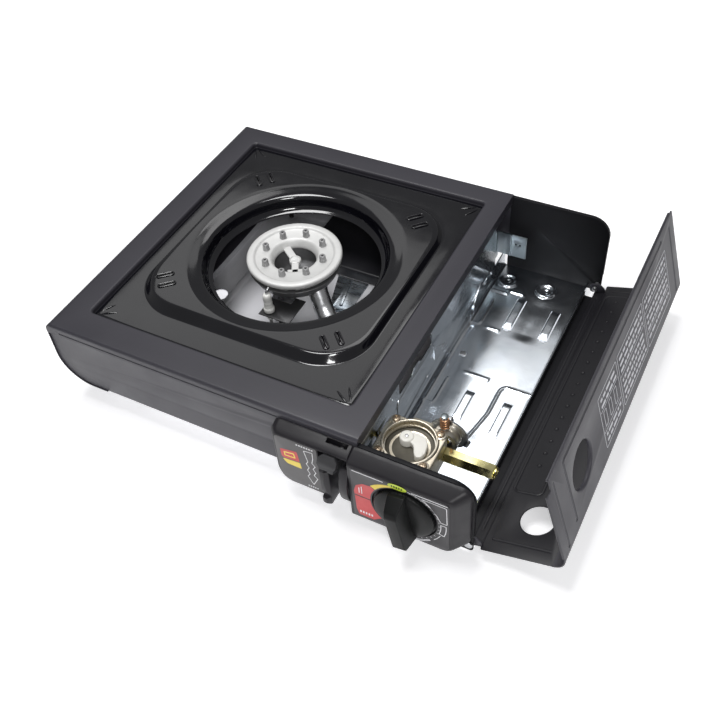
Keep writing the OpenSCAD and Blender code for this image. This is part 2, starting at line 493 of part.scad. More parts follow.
// ---------- panel ----------
module control_panel() color([0.2, 0.19, 0.21]) place() difference() {
  union() {
    difference() {
      // knob panel
      union() {
        xz(face_y, 0) rr4(bay_x - 3, 10, body_w - 2, 71.5, [0, 9, 7, 0]);
      }
      // sloping ledge and bevelled right end
      yz(bay_x - 4, body_w) polygon([[0.1, 71.5], [face_y, 66.5], [face_y - 1, 66.2], [face_y - 1, 80], [0.1, 80]]);
      translate([body_w - 11, face_y, 0]) rotate([0, 0, 45]) translate([0, -14, 0]) cube([20, 14, 90]);
      // hollow behind the face
      xz(face_y + 2.5, 1) rr4(bay_x + 2, 12.5, body_w - 13, 63, [2, 4, 4, 2]);
    }
    // lever panel
    difference() {
      xz(face2_y, t + 0.05) rr4(196, 16.5, bay_x - 2.9, 71.5, [13, 0, 0, 5]);
      yz(190, bay_x) polygon([[1, 71.5], [face2_y, 68], [face2_y - 1, 67.6], [face2_y - 1, 80], [1, 80]]);
      xz(face2_y + 2.2, 1) rr4(199, 19, 231, 65, [10, 1, 1, 3]);
      translate([196, face2_y, 0]) rotate([0, 0, -45]) translate([-6, -6, 0]) cube([6, 8, 90]);
    }
    // boss and ribs that carry the dial
    ycyl(kx, kz, face_y + 2, 0, 12);
  }
  // lever slot, open at the bottom
  box(233.6, face_y - 2, 8, 255.8, 2, 64.9);
  box(233.6, face_y - 2, 60, 255.8, -6.6, 66.9);
  // dial well and shaft hole
  ycyl(kx, kz, face_y - 1, face_y + 1.6, 23.3, 96);
  ycyl(kx, kz, face_y - 1, 1, 4.4, 48);
  ycyl(kx, kz, face_y + 4, 1, 10, 48);
  ycyl(hinge_x, hinge_z, -1.7, 1, 3.4, 32);
  box(190, 0, 68.95, bay_x + 0.1, 2, 76);
  // narrow slot in the ledge
  box(236.6, -4, 66, 252.2, -0.6, 75);
  zcyl(247.4, -2.2, 64, 67, 0.8, 24);
  for (p = [[214, 40], [214, 62]]) ycyl(p[0], p[1], -3, 1, 1.3, 24);
}
module dial_plate() color([0.35, 0.34, 0.36]) place() xz(face_y - 0.4, face_y) difference() {
  rr(bay_x + 1, 13, body_w - 12, 64.8, 3);
  translate([kx, kz]) circle(23.3, $fn = 96);
}
module label_plate() color([0.4, 0.4, 0.38]) place() xz(face2_y - 0.4, face2_y)
  rr4(201, 18.5, 232.8, 66.5, [10, 1, 1, 2]);
module lever_guard() color([0.17, 0.17, 0.18]) place() {
  difference() {
    union() {
      // back plate
      box(233.8, -1.6, 15.5, 255.6, t + 0.05, 64.8);
      // fixed rail with a ridged front, left of the arm, cut back where the head comes to rest
      intersection() {
        yz(235, 242) polygon([[-1, 14.4], [-13.4, 14.4], [-15, 16], [-15, 21], [-12.6, 22.2], [-12.6, 24], [-14.6, 30], [-15.2, 40], [-14.6, 51], [-1, 51]]);
        translate([0, 0, 14]) linear_extrude(38) polygon([[235.4, -1], [235.4, -14.2], [238.4, -15.4], [241.6, -12.6], [241.6, -1]]);
      }
      // bowed shield right of the arm
      intersection() {
        xcyl(piv_y, piv_z, 249.6, 255.6, 36.6, 96);
        box(249, -30, 18, 256, -1, 57);
      }
    }
    box(242.1, -2, 17.5, 248.9, 2, 62.6);
    xcyl(piv_y, piv_z, 251.2, 257, 34.6, 96);
  }
}
module lever_bracket() color([0.7, 0.72, 0.74]) place() difference() {
  union() {
    box(237, 2*t + 0.05, 20.9, 249.4, 3*t + 0.05, 60);
    box(239, 2*t + 0.05, 31, 239.8, 28, 47);
    box(248.6, 2*t + 0.05, 31, 249.4, 27, 43);
  }
  xcyl(piv_y, piv_z, 238, 250, 2.55);
  box(242, 1, 22, 248.4, 3, 57.5);
  box(239.8, 1, 43, 250, 3, 57.5);
}
// the lever is drawn level, then raised to its open position
module raise() translate([0, piv_y, piv_z]) rotate([-lever_up, 0, 0]) children();
module lock_lever() color([0.28, 0.28, 0.3]) place() raise() difference() {
  union() {
    xcyl(0, 0, 240.6, 247.8, 6);
    box(243.2, -41, -4.2, 247.2, 0, 4.2);
    // crank
    rotate([lever_up, 0, 0]) rotate([-lever_up, 0, 0]) box(243.2, -2.6, 0, 247.2, 2.6, crank_r + 2.6);
    // eight-sided head, set a little above the arm
    rotate([-4.2, 0, 0]) intersection() {
      difference() { xcyl(0, 0, 235.4, 249.2, 43.5, 96); xcyl(0, 0, 233, 252, 39.6, 96); }
      xz(-50, -30) translate([242.3, 0]) polygon([[-6.9, -2.3], [-4.1, -5.1], [4.1, -5.1], [6.9, -2.3], [6.9, 2.3], [4.1, 5.1], [-4.1, 5.1], [-6.9, 2.3]]);
    }
  }
  xcyl(0, 0, 240, 249, 2.55);
  xcyl(0, crank_r, 240, 249, 1.5, 32);
}
module lever_pin() color([0.75, 0.75, 0.75]) place() { xcyl(piv_y, piv_z, 238.6, 249.6, 2.5); xcyl(piv_y, piv_z, 237.4, 238.8, 3.6); }
module crank_pin() color([0.75, 0.75, 0.75]) place() raise() xcyl(0, crank_r, 243.2, 252.2, 1.5, 32);
pin_y = piv_y + crank_r*sin(lever_up);
module clamp_slide() color([0.72, 0.75, 0.78]) place() difference() {
  union() {
    // bar behind the bay wall, tongue for the crank, pusher behind the cartridge
    box(250, pin_y - 5.5, 19, 251.2, 264, 27);
    box(250, pin_y - 5.5, 19, 251.2, pin_y + 4, 52);
    box(250, 262, 24, 276, 263.2, 46);
    box(250, 250, 24, 251.2, 263.2, 46);
    box(262, 261, 24, 263, 262, 46);
  }
  box(249, pin_y - 1.75, 43, 253, pin_y + 1.75, 50);
  for (y = [112, 222]) { box(249, y, 21.3, 253, y + clamp_stroke, 24.7); xcyl(y, 23, 249, 253, 1.7, 24); xcyl(y + clamp_stroke, 23, 249, 253, 1.7, 24); }
  for (x = [267, 270.5]) ycyl(x, 37, 261, 265, 0.9, 16);
}
module slide_rivets() color([0.7, 0.7, 0.7]) place() for (y = [112, 222]) {
  xcyl(y, 23, 249, 255.4, 1.45, 24);
  xcyl(y, 23, 247.6, 249.4, 3.2, 24);
}

// ---------- cover ----------
module cover_closed() difference() {
  union() {
    xz(0.6, body_d - 0.6) difference() {
      rr4(body_w + 0.5 - cover_w, 9, body_w + 0.5, cover_h, [0, 0, cover_r, 0]);
      rr4(body_w - cover_w - 5, 0, body_w + 0.5 - t, cover_h - t, [0, 0, cover_r - t, 0]);
    }
    // hemmed free edge
    box(body_w + 0.5 - cover_w, 4, cover_h - t - 1.4, body_w + 1.9 - cover_w, body_d - 4, cover_h - t);
    // collar of the finger hole
    translate([298, 51, cover_h - t - 2.2]) cylinder(h = 2.3, r = 17.6);
    // hinge ears
    for (y = [3, 266]) difference() {
      union() {
        ycyl(hinge_x, hinge_z, y, y + 1.2, 4.6, 48);
        box(hinge_x, y, hinge_z - 1, body_w + 0.5 - t, y + 1.2, hinge_z + 8);
      }
      ycyl(hinge_x, hinge_z, y - 1, y + 3, 2.06, 32);
    }
  }
  // notches beside the end walls
  box(body_w - 3, 0, 0, body_w + 2, 2.9, 17);
  box(body_w - 3, 267.3, 0, body_w + 2, 280, 17);
  // finger hole, side hole and a row of pressed dimples on the inner face
  zcyl(298, 51, cover_h - 10, cover_h + 1, 16.4, 96);
  xcyl(32, 46, body_w - 5, body_w + 2, 12, 64);
  for (i = [0:15]) xcyl(77 + i*11.8, 30.5, body_w, body_w + 0.95 - t, 1.7, 16);
  box(body_w - cover_w - 1, -1, cover_h - 3, body_w - cover_w + 9, 6.5, cover_h + 1);
}
module cover() color([0.24, 0.24, 0.26]) place()
  translate([hinge_x, 0, hinge_z]) rotate([0, cover_open, 0]) translate([-hinge_x, 0, -hinge_z]) cover_closed();
module cover_hinge_pins() color([0.7, 0.7, 0.7]) place() {
  ycyl(hinge_x, hinge_z, 0, 5.4, 2, 32);
  ycyl(hinge_x, hinge_z, -1.4, 0, 3, 32);
  ycyl(hinge_x, hinge_z, 264.4, 272.9, 2, 32);
  ycyl(hinge_x, hinge_z, 272.9, 274.3, 3, 32);
}

// ---------- pan support, drawn stored with its arms down ----------
pl0 = [37, 46.5, 227.5, 233.5]; pl1 = [42, 53.5, 224.5, 226.5]; pl_top = 79.6;
module slab(q, r, z, i) translate([0, 0, z]) linear_extrude(0.1) rr(q[0] + i, q[1] + i, q[2] - i, q[3] - i, r - i, $fn = 48);
module pan_support() color([0.05, 0.05, 0.06]) place() difference() {
  union() {
    difference() {
      union() {
        translate([0, 0, plate_z - t + 0.05]) linear_extrude(t - 0.05) rr(rec_x1 + 0.5, rec_y1 + 0.5, rec_x2 - 0.5, rec_y2 - 0.5, 2.5);
        hull() { slab(pl0, 40, plate_z - 0.1, 0); slab(pl1, 35, pl_top - 0.1, 0); }
      }
      hull() { slab(pl0, 40, plate_z - t - 0.2, 1); slab(pl1, 35, pl_top - t - 0.1, 1); }
      translate([132, 140, 60]) cylinder(h = 30, r = 85, $fn = 128);
    }
    // dished edge of the hob opening
    translate([132, 140, 0]) rotate_extrude($fn = 128) polygon([[85, pl_top - t], [85, pl_top], [80, pl_top - 0.4], [hole_r + 3.2, 78.4], [hole_r, 76.8], [lip_r + 4, 67.5], [lip_r, 65.8],
      [lip_r, 65], [lip_r + 4.6, 66.7], [hole_r + 0.8, 76], [hole_r + 3.6, 77.6], [80, pl_top - 1.2]]);
  }
  for (a = arm_a) translate([132, 140, 0]) rotate([0, 0, a]) for (s = [-1, 1]) translate([92.2, s*5.5 - 0.7, 70]) cube([14.6, 1.4, 20]);
}
arm_a = [45, 135, 221.5, 315];
module pan_arms() color([0.05, 0.05, 0.06]) place()
  for (a = arm_a) translate([132, 140, 0]) rotate([0, 0, a]) {
    // channel: two webs joined by a floor, with a long tab of each web crimped over the plate
    for (s = [-1, 1]) {
      translate([0, s*5.5 + 0.6, 0]) rotate([90, 0, 0]) linear_extrude(1.2)
        polygon([[86.4, 78.7], [85.6, 77], [85.4, 74], [90, 64.5], [107, 64.5], [108.4, 66], [108.2, 77.8], [107, 78.7]]);
      translate([92.5, s*5.5 - 0.6, 78]) cube([14, 1.2, pl_top - 78 + 1.2]);
      translate([92.5, s*5.5 - 1.9, pl_top]) cube([14, 3.8, 1.2]);
    }
    translate([90, -6, 64.5]) cube([17, 12, 1.2]);
  }
module casing_screws() color([0.3, 0.3, 0.3]) place() {
  zcyl(247.4, -2.2, 64.9, 66, 0.8, 24); zcyl(247.4, -2.2, 66, 67.4, 1.35, 32);
  for (p = [[20, 60], [238, 60]]) { ycyl(p[0], p[1], body_d - 2*t - 0.05 - 4, body_d - t - 0.05, 1.6, 24); ycyl(p[0], p[1], body_d - t - 0.05, body_d - 0.05, 3, 32); }
  for (p = [[214, 40], [214, 62]]) { ycyl(p[0], p[1], -3, 2*t + 0.05, 1.3, 24); ycyl(p[0], p[1], 2*t + 0.05, 2*t + 1.6, 2.8, 32); }
}

top_casing();
front_skirt();
rear_skirt();
bottom_pan();
rear_crossmember();
feet();
cartridge_tray();
bay_sill();
front_end_plate();
rear_end_wall();
heat_plate();
burner_head();
burner_base();
burner_bracket();
venturi_tube();
gas_jet();
electrode();
electrode_insulator();
electrode_bracket();
ignition_lead();
piezo_body();
piezo_plunger();
regulator_body();
diaphragm();
diaphragm_cover();
regulator_rocker();
rocker_pin();
spring_post();
cutoff_spring();
locating_flange();
inlet_seal();
inlet_nozzle();
relief_cylinder();
regulator_screws();
valve_seal();
valve_shaft();
knob_cam();
knob();
control_panel();
dial_plate();
label_plate();
lever_guard();
lever_bracket();
lock_lever();
lever_pin();
crank_pin();
clamp_slide();
slide_rivets();
cover();
cover_hinge_pins();
pan_support();
pan_arms();
casing_screws();
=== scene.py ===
import json
import math

import bmesh
import bpy
import numpy as np
from mathutils import Matrix, Vector
from mathutils.geometry import tessellate_polygon


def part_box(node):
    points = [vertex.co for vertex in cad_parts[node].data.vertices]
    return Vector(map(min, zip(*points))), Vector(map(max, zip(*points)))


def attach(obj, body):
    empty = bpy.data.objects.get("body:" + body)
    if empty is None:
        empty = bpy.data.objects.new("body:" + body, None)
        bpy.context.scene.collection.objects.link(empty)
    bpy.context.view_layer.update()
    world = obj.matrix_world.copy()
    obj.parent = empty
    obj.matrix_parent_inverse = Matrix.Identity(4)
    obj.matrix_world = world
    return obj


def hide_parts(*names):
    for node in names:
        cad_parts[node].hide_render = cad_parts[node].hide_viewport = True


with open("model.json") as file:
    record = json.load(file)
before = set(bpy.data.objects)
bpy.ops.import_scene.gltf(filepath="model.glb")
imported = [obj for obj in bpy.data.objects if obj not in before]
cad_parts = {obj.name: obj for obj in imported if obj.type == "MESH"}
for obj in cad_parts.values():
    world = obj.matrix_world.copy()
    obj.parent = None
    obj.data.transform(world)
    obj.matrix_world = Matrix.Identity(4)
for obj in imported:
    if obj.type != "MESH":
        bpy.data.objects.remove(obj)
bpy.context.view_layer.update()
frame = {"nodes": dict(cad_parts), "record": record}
NODES = frame["nodes"]
_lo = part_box("top_casing")[0]
OX, OY = -_lo.x * 1000, -_lo.y * 1000  # pieces are drawn in millimetres from the body's front left corner
scene = bpy.context.scene
PI = math.pi


# ---------------------------------------------------------------- camera, light, floor
def row(p):
    return Vector(((p[0] - OX) / 1000, (p[1] - OY) / 1000, p[2] / 1000))


def camera():
    az, el, roll = (math.radians(v) for v in (31.208757, 47.442499, -5.196749))
    back = Vector((math.sin(az) * math.cos(el), -math.cos(az) * math.cos(el), math.sin(el)))
    right = Vector((math.cos(az), math.sin(az), 0))
    up = back.cross(right)
    r2 = right * math.cos(roll) + up * math.sin(roll)
    u2 = -right * math.sin(roll) + up * math.cos(roll)
    cam = bpy.data.cameras.new("camera")
    cam.sensor_width, cam.lens = 36, 46.0412
    cam.clip_start, cam.clip_end = 0.02, 30
    o = bpy.data.objects.new("camera", cam)
    m = Matrix((r2, u2, back)).transposed().to_4x4()
    m.translation = row((214.712, 84.526, 50.0)) + back * 0.6656746
    o.matrix_world = m
    scene.collection.objects.link(o)
    scene.camera = o


camera()


def area_light(name, at, to, size, power, color=(1, 1, 1), size_y=None, spread=180):
    li = bpy.data.lights.new(name, "AREA")
    li.shape = "RECTANGLE"
    li.size, li.size_y = size, size_y or size
    li.energy, li.color, li.spread = power, color, math.radians(spread)
    o = bpy.data.objects.new(name, li)
    o.location = at
    o.rotation_mode = "QUATERNION"
    o.rotation_quaternion = (Vector(to) - Vector(at)).to_track_quat("-Z", "Y")
    scene.collection.objects.link(o)
    return o


area_light("key", (-0.30, 0.05, 1.50), (-0.02, 0.0, 0), 0.70, 13, size_y=0.50)
area_light("pan_panel", (-1.40, 1.55, 2.0), (-1.40, 1.55, 0), 1.2, 3.5, size_y=1.1)
area_light("tray_panel", (-0.45, 1.35, 2.0), (-0.45, 1.35, 0), 0.6, 3.2, size_y=0.75)
area_light("front_fill", (0.60, -0.94, 1.08), (-0.10, 0.05, 0.02), 0.30, 6.5, size_y=0.30)

world = bpy.data.worlds.new("world")
world.use_nodes = True
world.node_tree.nodes["Background"].inputs[0].default_value = (1, 1, 1, 1)
world.node_tree.nodes["Background"].inputs[1].default_value = 0.22
scene.world = world
scene.view_settings.view_transform = "Standard"
scene.view_settings.look = "None"


# ---------------------------------------------------------------- materials
MATS = {}


def material(name, color, rough, metal=0.0, spec=0.5, coat=0.0, coat_rough=0.08, tint=None, tint_scale=20.0, tint_amount=0.5,
             rough_to=None, rough_scale=60.0, bump=0.0, bump_scale=800.0, bump_detail=2.0, bump2=0.0, bump2_scale=40.0,
             stretch=(1, 1, 1), edge=None, edge_amount=0.0, ior=1.5, emit=0.0):
    m = bpy.data.materials.new(name)
    m.use_nodes = True
    nt = m.node_tree
    b = nt.nodes["Principled BSDF"]
    b.inputs["Roughness"].default_value = rough
    b.inputs["Metallic"].default_value = metal
    b.inputs["IOR"].default_value = ior
    b.inputs["Specular IOR Level"].default_value = spec
    b.inputs["Coat Weight"].default_value = coat
    b.inputs["Coat Roughness"].default_value = coat_rough
    tc = nt.nodes.new("ShaderNodeTexCoord")
    mp = nt.nodes.new("ShaderNodeMapping")
    mp.inputs["Scale"].default_value = stretch
    nt.links.new(tc.outputs["Object"], mp.inputs["Vector"])

    def noise(scale, detail=3.0, rough_=0.55):
        n = nt.nodes.new("ShaderNodeTexNoise")
        n.inputs["Scale"].default_value = scale
        n.inputs["Detail"].default_value = detail
        n.inputs["Roughness"].default_value = rough_
        nt.links.new(mp.outputs["Vector"], n.inputs["Vector"])
        return n

    def span(src, a, b_, lo=0.32, hi=0.68):
        r = nt.nodes.new("ShaderNodeMapRange")
        r.inputs["From Min"].default_value, r.inputs["From Max"].default_value = lo, hi
        r.inputs["To Min"].default_value, r.inputs["To Max"].default_value = a, b_
        nt.links.new(src, r.inputs["Value"])
        return r.outputs["Result"]

    tint = tint or tuple(min(1, c * 1.25) for c in color)
    mix = nt.nodes.new("ShaderNodeMix")
    mix.data_type = "RGBA"
    mix.inputs["A"].default_value = (*color, 1)
    mix.inputs["B"].default_value = (*tint, 1)
    n1 = noise(tint_scale)
    nt.links.new(span(n1.outputs["Fac"], 0, tint_amount), mix.inputs["Factor"])
    col = mix.outputs["Result"]
    if edge_amount:  # wear where the surface is convex
        geo = nt.nodes.new("ShaderNodeNewGeometry")
        e = nt.nodes.new("ShaderNodeMix")
        e.data_type = "RGBA"
        e.inputs["B"].default_value = (*edge, 1)
        nt.links.new(col, e.inputs["A"])
        nt.links.new(span(geo.outputs["Pointiness"], 0, edge_amount, 0.52, 0.60), e.inputs["Factor"])
        col = e.outputs["Result"]
    nt.links.new(col, b.inputs["Base Color"])
    if rough_to is not None:
        n2 = noise(rough_scale, 4.0)
        nt.links.new(span(n2.outputs["Fac"], rough, rough_to), b.inputs["Roughness"])
    last = None
    for amount, scale, detail in ((bump, bump_scale, bump_detail), (bump2, bump2_scale, 1.0)):
        if amount:
            n3 = noise(scale, detail)
            bp = nt.nodes.new("ShaderNodeBump")
            bp.inputs["Strength"].default_value = 1.0
            bp.inputs["Distance"].default_value = amount
            nt.links.new(n3.outputs["Fac"], bp.inputs["Height"])
            if last:
                nt.links.new(last.outputs["Normal"], bp.inputs["Normal"])
            last = bp
    if last:
        nt.links.new(last.outputs["Normal"], b.inputs["Normal"])
    if emit:
        b.inputs["Emission Color"].default_value = (*color, 1)
        b.inputs["Emission Strength"].default_value = emit
    MATS[name] = m
    return m


powder = material("powder_coat", (0.0285, 0.0272, 0.0350), 0.38, spec=0.45, tint=(0.037, 0.0353, 0.0450), tint_scale=9, tint_amount=0.8,
                  rough_to=0.47, rough_scale=30, bump=0.000012, bump_scale=1500, edge=(0.07, 0.068, 0.082), edge_amount=0.35)
powder_lid = material("powder_coat_cover", (0.036, 0.0345, 0.043), 0.42, spec=0.4, tint=(0.047, 0.045, 0.056), tint_scale=8, tint_amount=0.8,
                      rough_to=0.52, rough_scale=30, bump=0.000012, bump_scale=1500, edge=(0.09, 0.09, 0.097), edge_amount=0.3)
black = material("black_paint", (0.010, 0.010, 0.013), 0.34, tint=(0.016, 0.016, 0.020), tint_scale=14, rough_to=0.46,
                 bump=0.000008, bump_scale=1400, edge=(0.05, 0.05, 0.055), edge_amount=0.3)
enamel = material("black_enamel", (0.0035, 0.0035, 0.0055), 0.07, spec=0.62, tint=(0.007, 0.007, 0.010), tint_scale=25,
                  rough_to=0.13, rough_scale=45, bump=0.0, bump2=0.00005, bump2_scale=55, coat=0.3, coat_rough=0.04)
galv = material("galvanised", (0.70, 0.74, 0.79), 0.20, metal=1.0, tint=(0.82, 0.85, 0.88), tint_scale=38, tint_amount=0.9,
                rough_to=0.34, rough_scale=85, bump=0.000006, bump_scale=420, bump_detail=4, bump2=0.00006, bump2_scale=16)
galv_pan = material("galvanised_pan", (0.52, 0.52, 0.55), 0.33, metal=1.0, tint=(0.62, 0.62, 0.65), tint_scale=22, tint_amount=0.9,
                    rough_to=0.45, rough_scale=60, bump=0.000006, bump_scale=500, bump2=0.00005, bump2_scale=14)
galv_dark = material("galvanised_dark", (0.30, 0.34, 0.36), 0.30, metal=1.0, tint=(0.40, 0.44, 0.46), tint_scale=45, rough_to=0.42, rough_scale=120,
                     bump=0.000005, bump_scale=900)
zinc = material("plated_steel", (0.62, 0.63, 0.65), 0.24, metal=1.0, tint=(0.72, 0.72, 0.73), tint_scale=90, rough_to=0.38, rough_scale=200,
                bump=0.000005, bump_scale=900)
alu_head = material("burner_aluminium", (0.72, 0.72, 0.71), 0.42, metal=0.25, tint=(0.80, 0.80, 0.79), tint_scale=120, tint_amount=0.6,
                    rough_to=0.55, rough_scale=260, bump=0.00001, bump_scale=1600, bump_detail=4)
# darker copy of the head's aluminium for the boss posts: painted shade on their sides
alu_painted_shade = material("burner_aluminium_painted_shade", (0.34, 0.34, 0.345), 0.40, metal=0.5, tint=(0.44, 0.44, 0.44), tint_scale=120, tint_amount=0.6,
                    rough_to=0.52, rough_scale=260, bump=0.00001, bump_scale=1600, bump_detail=4)
# dark aluminium for the burner's base cup and lugs: painted shade under the head's rim
alu_base_painted_shade = material("burner_base_painted_shade", (0.20, 0.20, 0.205), 0.45, metal=0.85, tint=(0.32, 0.32, 0.33), tint_scale=90, rough_to=0.6,
                    rough_scale=220, bump=0.00002, bump_scale=1100, bump_detail=4)
diecast = material("diecast", (0.62, 0.55, 0.43), 0.24, metal=1.0, tint=(0.76, 0.71, 0.60), tint_scale=70, tint_amount=0.9,
                   rough_to=0.42, rough_scale=160, bump=0.000012, bump_scale=1200, bump_detail=4, edge=(0.92, 0.9, 0.84), edge_amount=0.5)
brass = material("brass", (0.80, 0.66, 0.18), 0.16, metal=1.0, tint=(0.90, 0.80, 0.34), tint_scale=60, rough_to=0.28, rough_scale=180,
                 bump=0.000005, bump_scale=900, edge=(0.98, 0.95, 0.6), edge_amount=0.5)
copper = material("copper_wire", (0.66, 0.34, 0.19), 0.26, metal=1.0, tint=(0.80, 0.48, 0.30), tint_scale=300, rough_to=0.4,
                  rough_scale=500, bump=0.000004, bump_scale=2500)
plastic = material("black_plastic", (0.0130, 0.0118, 0.0148), 0.38, spec=0.33, tint=(0.018, 0.0164, 0.0200), tint_scale=30, rough_to=0.48,
                   rough_scale=90, bump=0.000014, bump_scale=1700, edge=(0.06, 0.06, 0.065), edge_amount=0.25)
plastic_knob = material("knob_plastic", (0.0045, 0.0048, 0.0050), 0.38, spec=0.18, tint=(0.010, 0.0108, 0.0108), tint_scale=40, rough_to=0.44,
                        rough_scale=120, bump=0.00001, bump_scale=1900, edge=(0.04, 0.042, 0.042), edge_amount=0.3)
plastic_lever = material("lever_plastic", (0.030, 0.030, 0.032), 0.38, spec=0.4, tint=(0.042, 0.042, 0.045), tint_scale=40, rough_to=0.46,
                         rough_scale=120, bump=0.00001, bump_scale=1900, edge=(0.08, 0.08, 0.085), edge_amount=0.3)
face_plate = material("printed_face", (0.034, 0.032, 0.036), 0.32, spec=0.4, tint=(0.042, 0.040, 0.044), tint_scale=20, rough_to=0.40,
                      rough_scale=70, bump=0.000006, bump_scale=1500)
white_pl = material("white_plastic", (0.86, 0.84, 0.77), 0.34, spec=0.5, tint=(0.92, 0.91, 0.86), tint_scale=60, rough_to=0.46,
                    rough_scale=120, bump=0.000006, bump_scale=1200)
ceramic = material("ceramic", (0.86, 0.86, 0.83), 0.22, tint=(0.93, 0.93, 0.90), tint_scale=150, rough_to=0.34, rough_scale=300,
                   bump=0.000006, bump_scale=1500)
rubber = material("rubber", (0.018, 0.018, 0.019), 0.72, tint=(0.026, 0.026, 0.027), tint_scale=80, rough_to=0.85, rough_scale=200,
                  bump=0.00002, bump_scale=1500)
sleeve = material("lead_sleeve", (0.40, 0.40, 0.39), 0.5, tint=(0.5, 0.5, 0.49), tint_scale=200, rough_to=0.6, rough_scale=300,
                  bump=0.00001, bump_scale=1800)
ink_white = material("ink_white", (0.72, 0.72, 0.74), 0.45, tint=(0.82, 0.82, 0.84), tint_scale=300, tint_amount=0.9, rough_to=0.55,
                     bump=0.000004, bump_scale=3000)
ink_grey = material("ink_grey", (0.60, 0.60, 0.64), 0.45, tint=(0.68, 0.68, 0.72), tint_scale=300, rough_to=0.55, bump=0.000004, bump_scale=3000)
ink_red = material("ink_red", (0.56, 0.045, 0.05), 0.36, tint=(0.66, 0.09, 0.09), tint_scale=150, rough_to=0.46, bump=0.000004, bump_scale=3000)
ink_yellow = material("ink_yellow", (0.82, 0.62, 0.06), 0.36, tint=(0.90, 0.74, 0.16), tint_scale=150, rough_to=0.46, bump=0.000004, bump_scale=3000)
ink_lime = material("ink_lime", (0.55, 0.70, 0.05), 0.36, tint=(0.66, 0.78, 0.12), tint_scale=150, rough_to=0.46, bump=0.000004, bump_scale=3000)
ink_black = material("ink_black", (0.012, 0.012, 0.014), 0.4, tint=(0.02, 0.02, 0.022), tint_scale=150, rough_to=0.5, bump=0.000004, bump_scale=3000)
dark_hole = material("port_shadow", (0.006, 0.006, 0.007), 0.6, tint=(0.012, 0.012, 0.013), tint_scale=200, rough_to=0.7, bump=0.00001, bump_scale=1500)

floor_mat = material("floor", (0.86, 0.86, 0.87), 0.6, spec=0.25, emit=0.55, tint=(0.88, 0.88, 0.89), tint_scale=3, rough_to=0.65)
_b = floor_mat.node_tree.nodes["Principled BSDF"]
bm = bmesh.new()
bmesh.ops.create_circle(bm, cap_ends=True, radius=6, segments=96)
me = bpy.data.meshes.new("floor")
bm.to_mesh(me)
bm.free()
floor = bpy.data.objects.new("floor", me)
floor.location = (0, 0, -0.0002)
me.materials.append(floor_mat)
scene.collection.objects.link(floor)


# ---------------------------------------------------------------- mesh tools
def link(name, V, F, mat, body="stove_body", rep=(), angle=38, slot=None, sharp=True):
    me = bpy.data.meshes.new(name)
    V = (np.asarray(V, float) - (OX, OY, 0)) / 1000
    me.from_pydata(V.tolist(), [], [tuple(int(i) for i in f) for f in F])
    me.validate()
    bm = bmesh.new()
    bm.from_mesh(me)
    bmesh.ops.recalc_face_normals(bm, faces=bm.faces)
    bm.to_mesh(me)
    bm.free()
    me.polygons.foreach_set("use_smooth", [True] * len(me.polygons))
    if sharp:
        me.set_sharp_from_angle(angle=math.radians(angle))
    me.materials.append(mat)
    o = bpy.data.objects.new(name, me)
    scene.collection.objects.link(o)
    if body:
        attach(o, body)
        if rep:
            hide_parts(*rep)
    return o


def group(name, parts, mat, **kw):
    vs, fs, k = [], [], 0
    for V, F in parts:
        vs.append(np.asarray(V, float))
        fs += [tuple(i + k for i in f) for f in F]
        k += len(V)
    return link(name, np.vstack(vs), fs, mat, **kw)


def apply(o, angle=38, sharp=True):
    dg = bpy.context.evaluated_depsgraph_get()
    me = bpy.data.meshes.new_from_object(o.evaluated_get(dg), preserve_all_data_layers=True, depsgraph=dg)
    o.modifiers.clear()
    o.data = me
    me.polygons.foreach_set("use_smooth", [True] * len(me.polygons))
    if sharp:
        me.set_sharp_from_angle(angle=math.radians(angle))
    return o


def boolean(o, parts, op="DIFFERENCE", angle=38, own=False):
    """Cuts closed meshes, in body millimetres, out of o."""
    c = group(o.name + "_cutter", parts, MATS["rubber"], body=None)
    m = o.modifiers.new("cut", "BOOLEAN")
    m.operation, m.solver, m.object = op, "EXACT", c
    m.use_self = own
    apply(o, angle)
    me = c.data
    bpy.data.objects.remove(c)
    bpy.data.meshes.remove(me)
    return o


def moved(part, f):
    V, F = part
    return np.asarray([f(p) for p in np.asarray(V, float)]), F


def mat4(part, m):
    V, F = part
    V = np.asarray(V, float)
    return V @ np.array(m.to_3x3()).T + np.array(m.translation), F


def area2(P):
    P = np.asarray(P, float)
    q = np.roll(P, -1, 0)
    return float((P[:, 0] * q[:, 1] - q[:, 0] * P[:, 1]).sum())


def ccw(P, want=True):
    P = np.asarray(P, float)
    return P if (area2(P) > 0) == want else P[::-1]


def inset(P, d):
    P = np.asarray(P, float)
    e = np.roll(P, -1, 0) - P
    e /= np.maximum(np.linalg.norm(e, axis=1, keepdims=True), 1e-9)
    n = np.stack([-e[:, 1], e[:, 0]], 1)
    m = np.roll(n, 1, 0)
    c = np.maximum(1 + (m * n).sum(1, keepdims=True), 0.35)
    d = np.asarray(d, float).reshape(-1, 1) if np.ndim(d) else d
    return P + (m + n) / c * d


def fil(pts, seg=5, closed=True):
    """Rounds the corners of a polygon: each point is (u, v) or (u, v, radius)."""
    out, n = [], len(pts)
    for i, p in enumerate(pts):
        r = p[2] if len(p) > 2 else 0
        q = np.array(p[:2], float)
        if r <= 0 or (not closed and i in (0, n - 1)):
            out.append(tuple(q))
            continue
        a = np.array(pts[i - 1][:2], float) - q
        b = np.array(pts[(i + 1) % n][:2], float) - q
        la, lb = np.linalg.norm(a), np.linalg.norm(b)
        a, b = a / la, b / lb
        ang = math.acos(max(-1, min(1, float(a @ b))))
        if ang > PI - 0.02:
            out.append(tuple(q))
            continue
        t = min(r / math.tan(ang / 2), la * 0.495, lb * 0.495)
        rr_ = t * math.tan(ang / 2)
        c = q + (a + b) / np.linalg.norm(a + b) * (rr_ / math.sin(ang / 2))
        v0, v1 = q + a * t - c, q + b * t - c
        w = PI - ang
        for k in range(seg + 1):
            s = k / seg
            out.append(tuple(c + (math.sin((1 - s) * w) * v0 + math.sin(s * w) * v1) / math.sin(w)))
    return np.array(out)


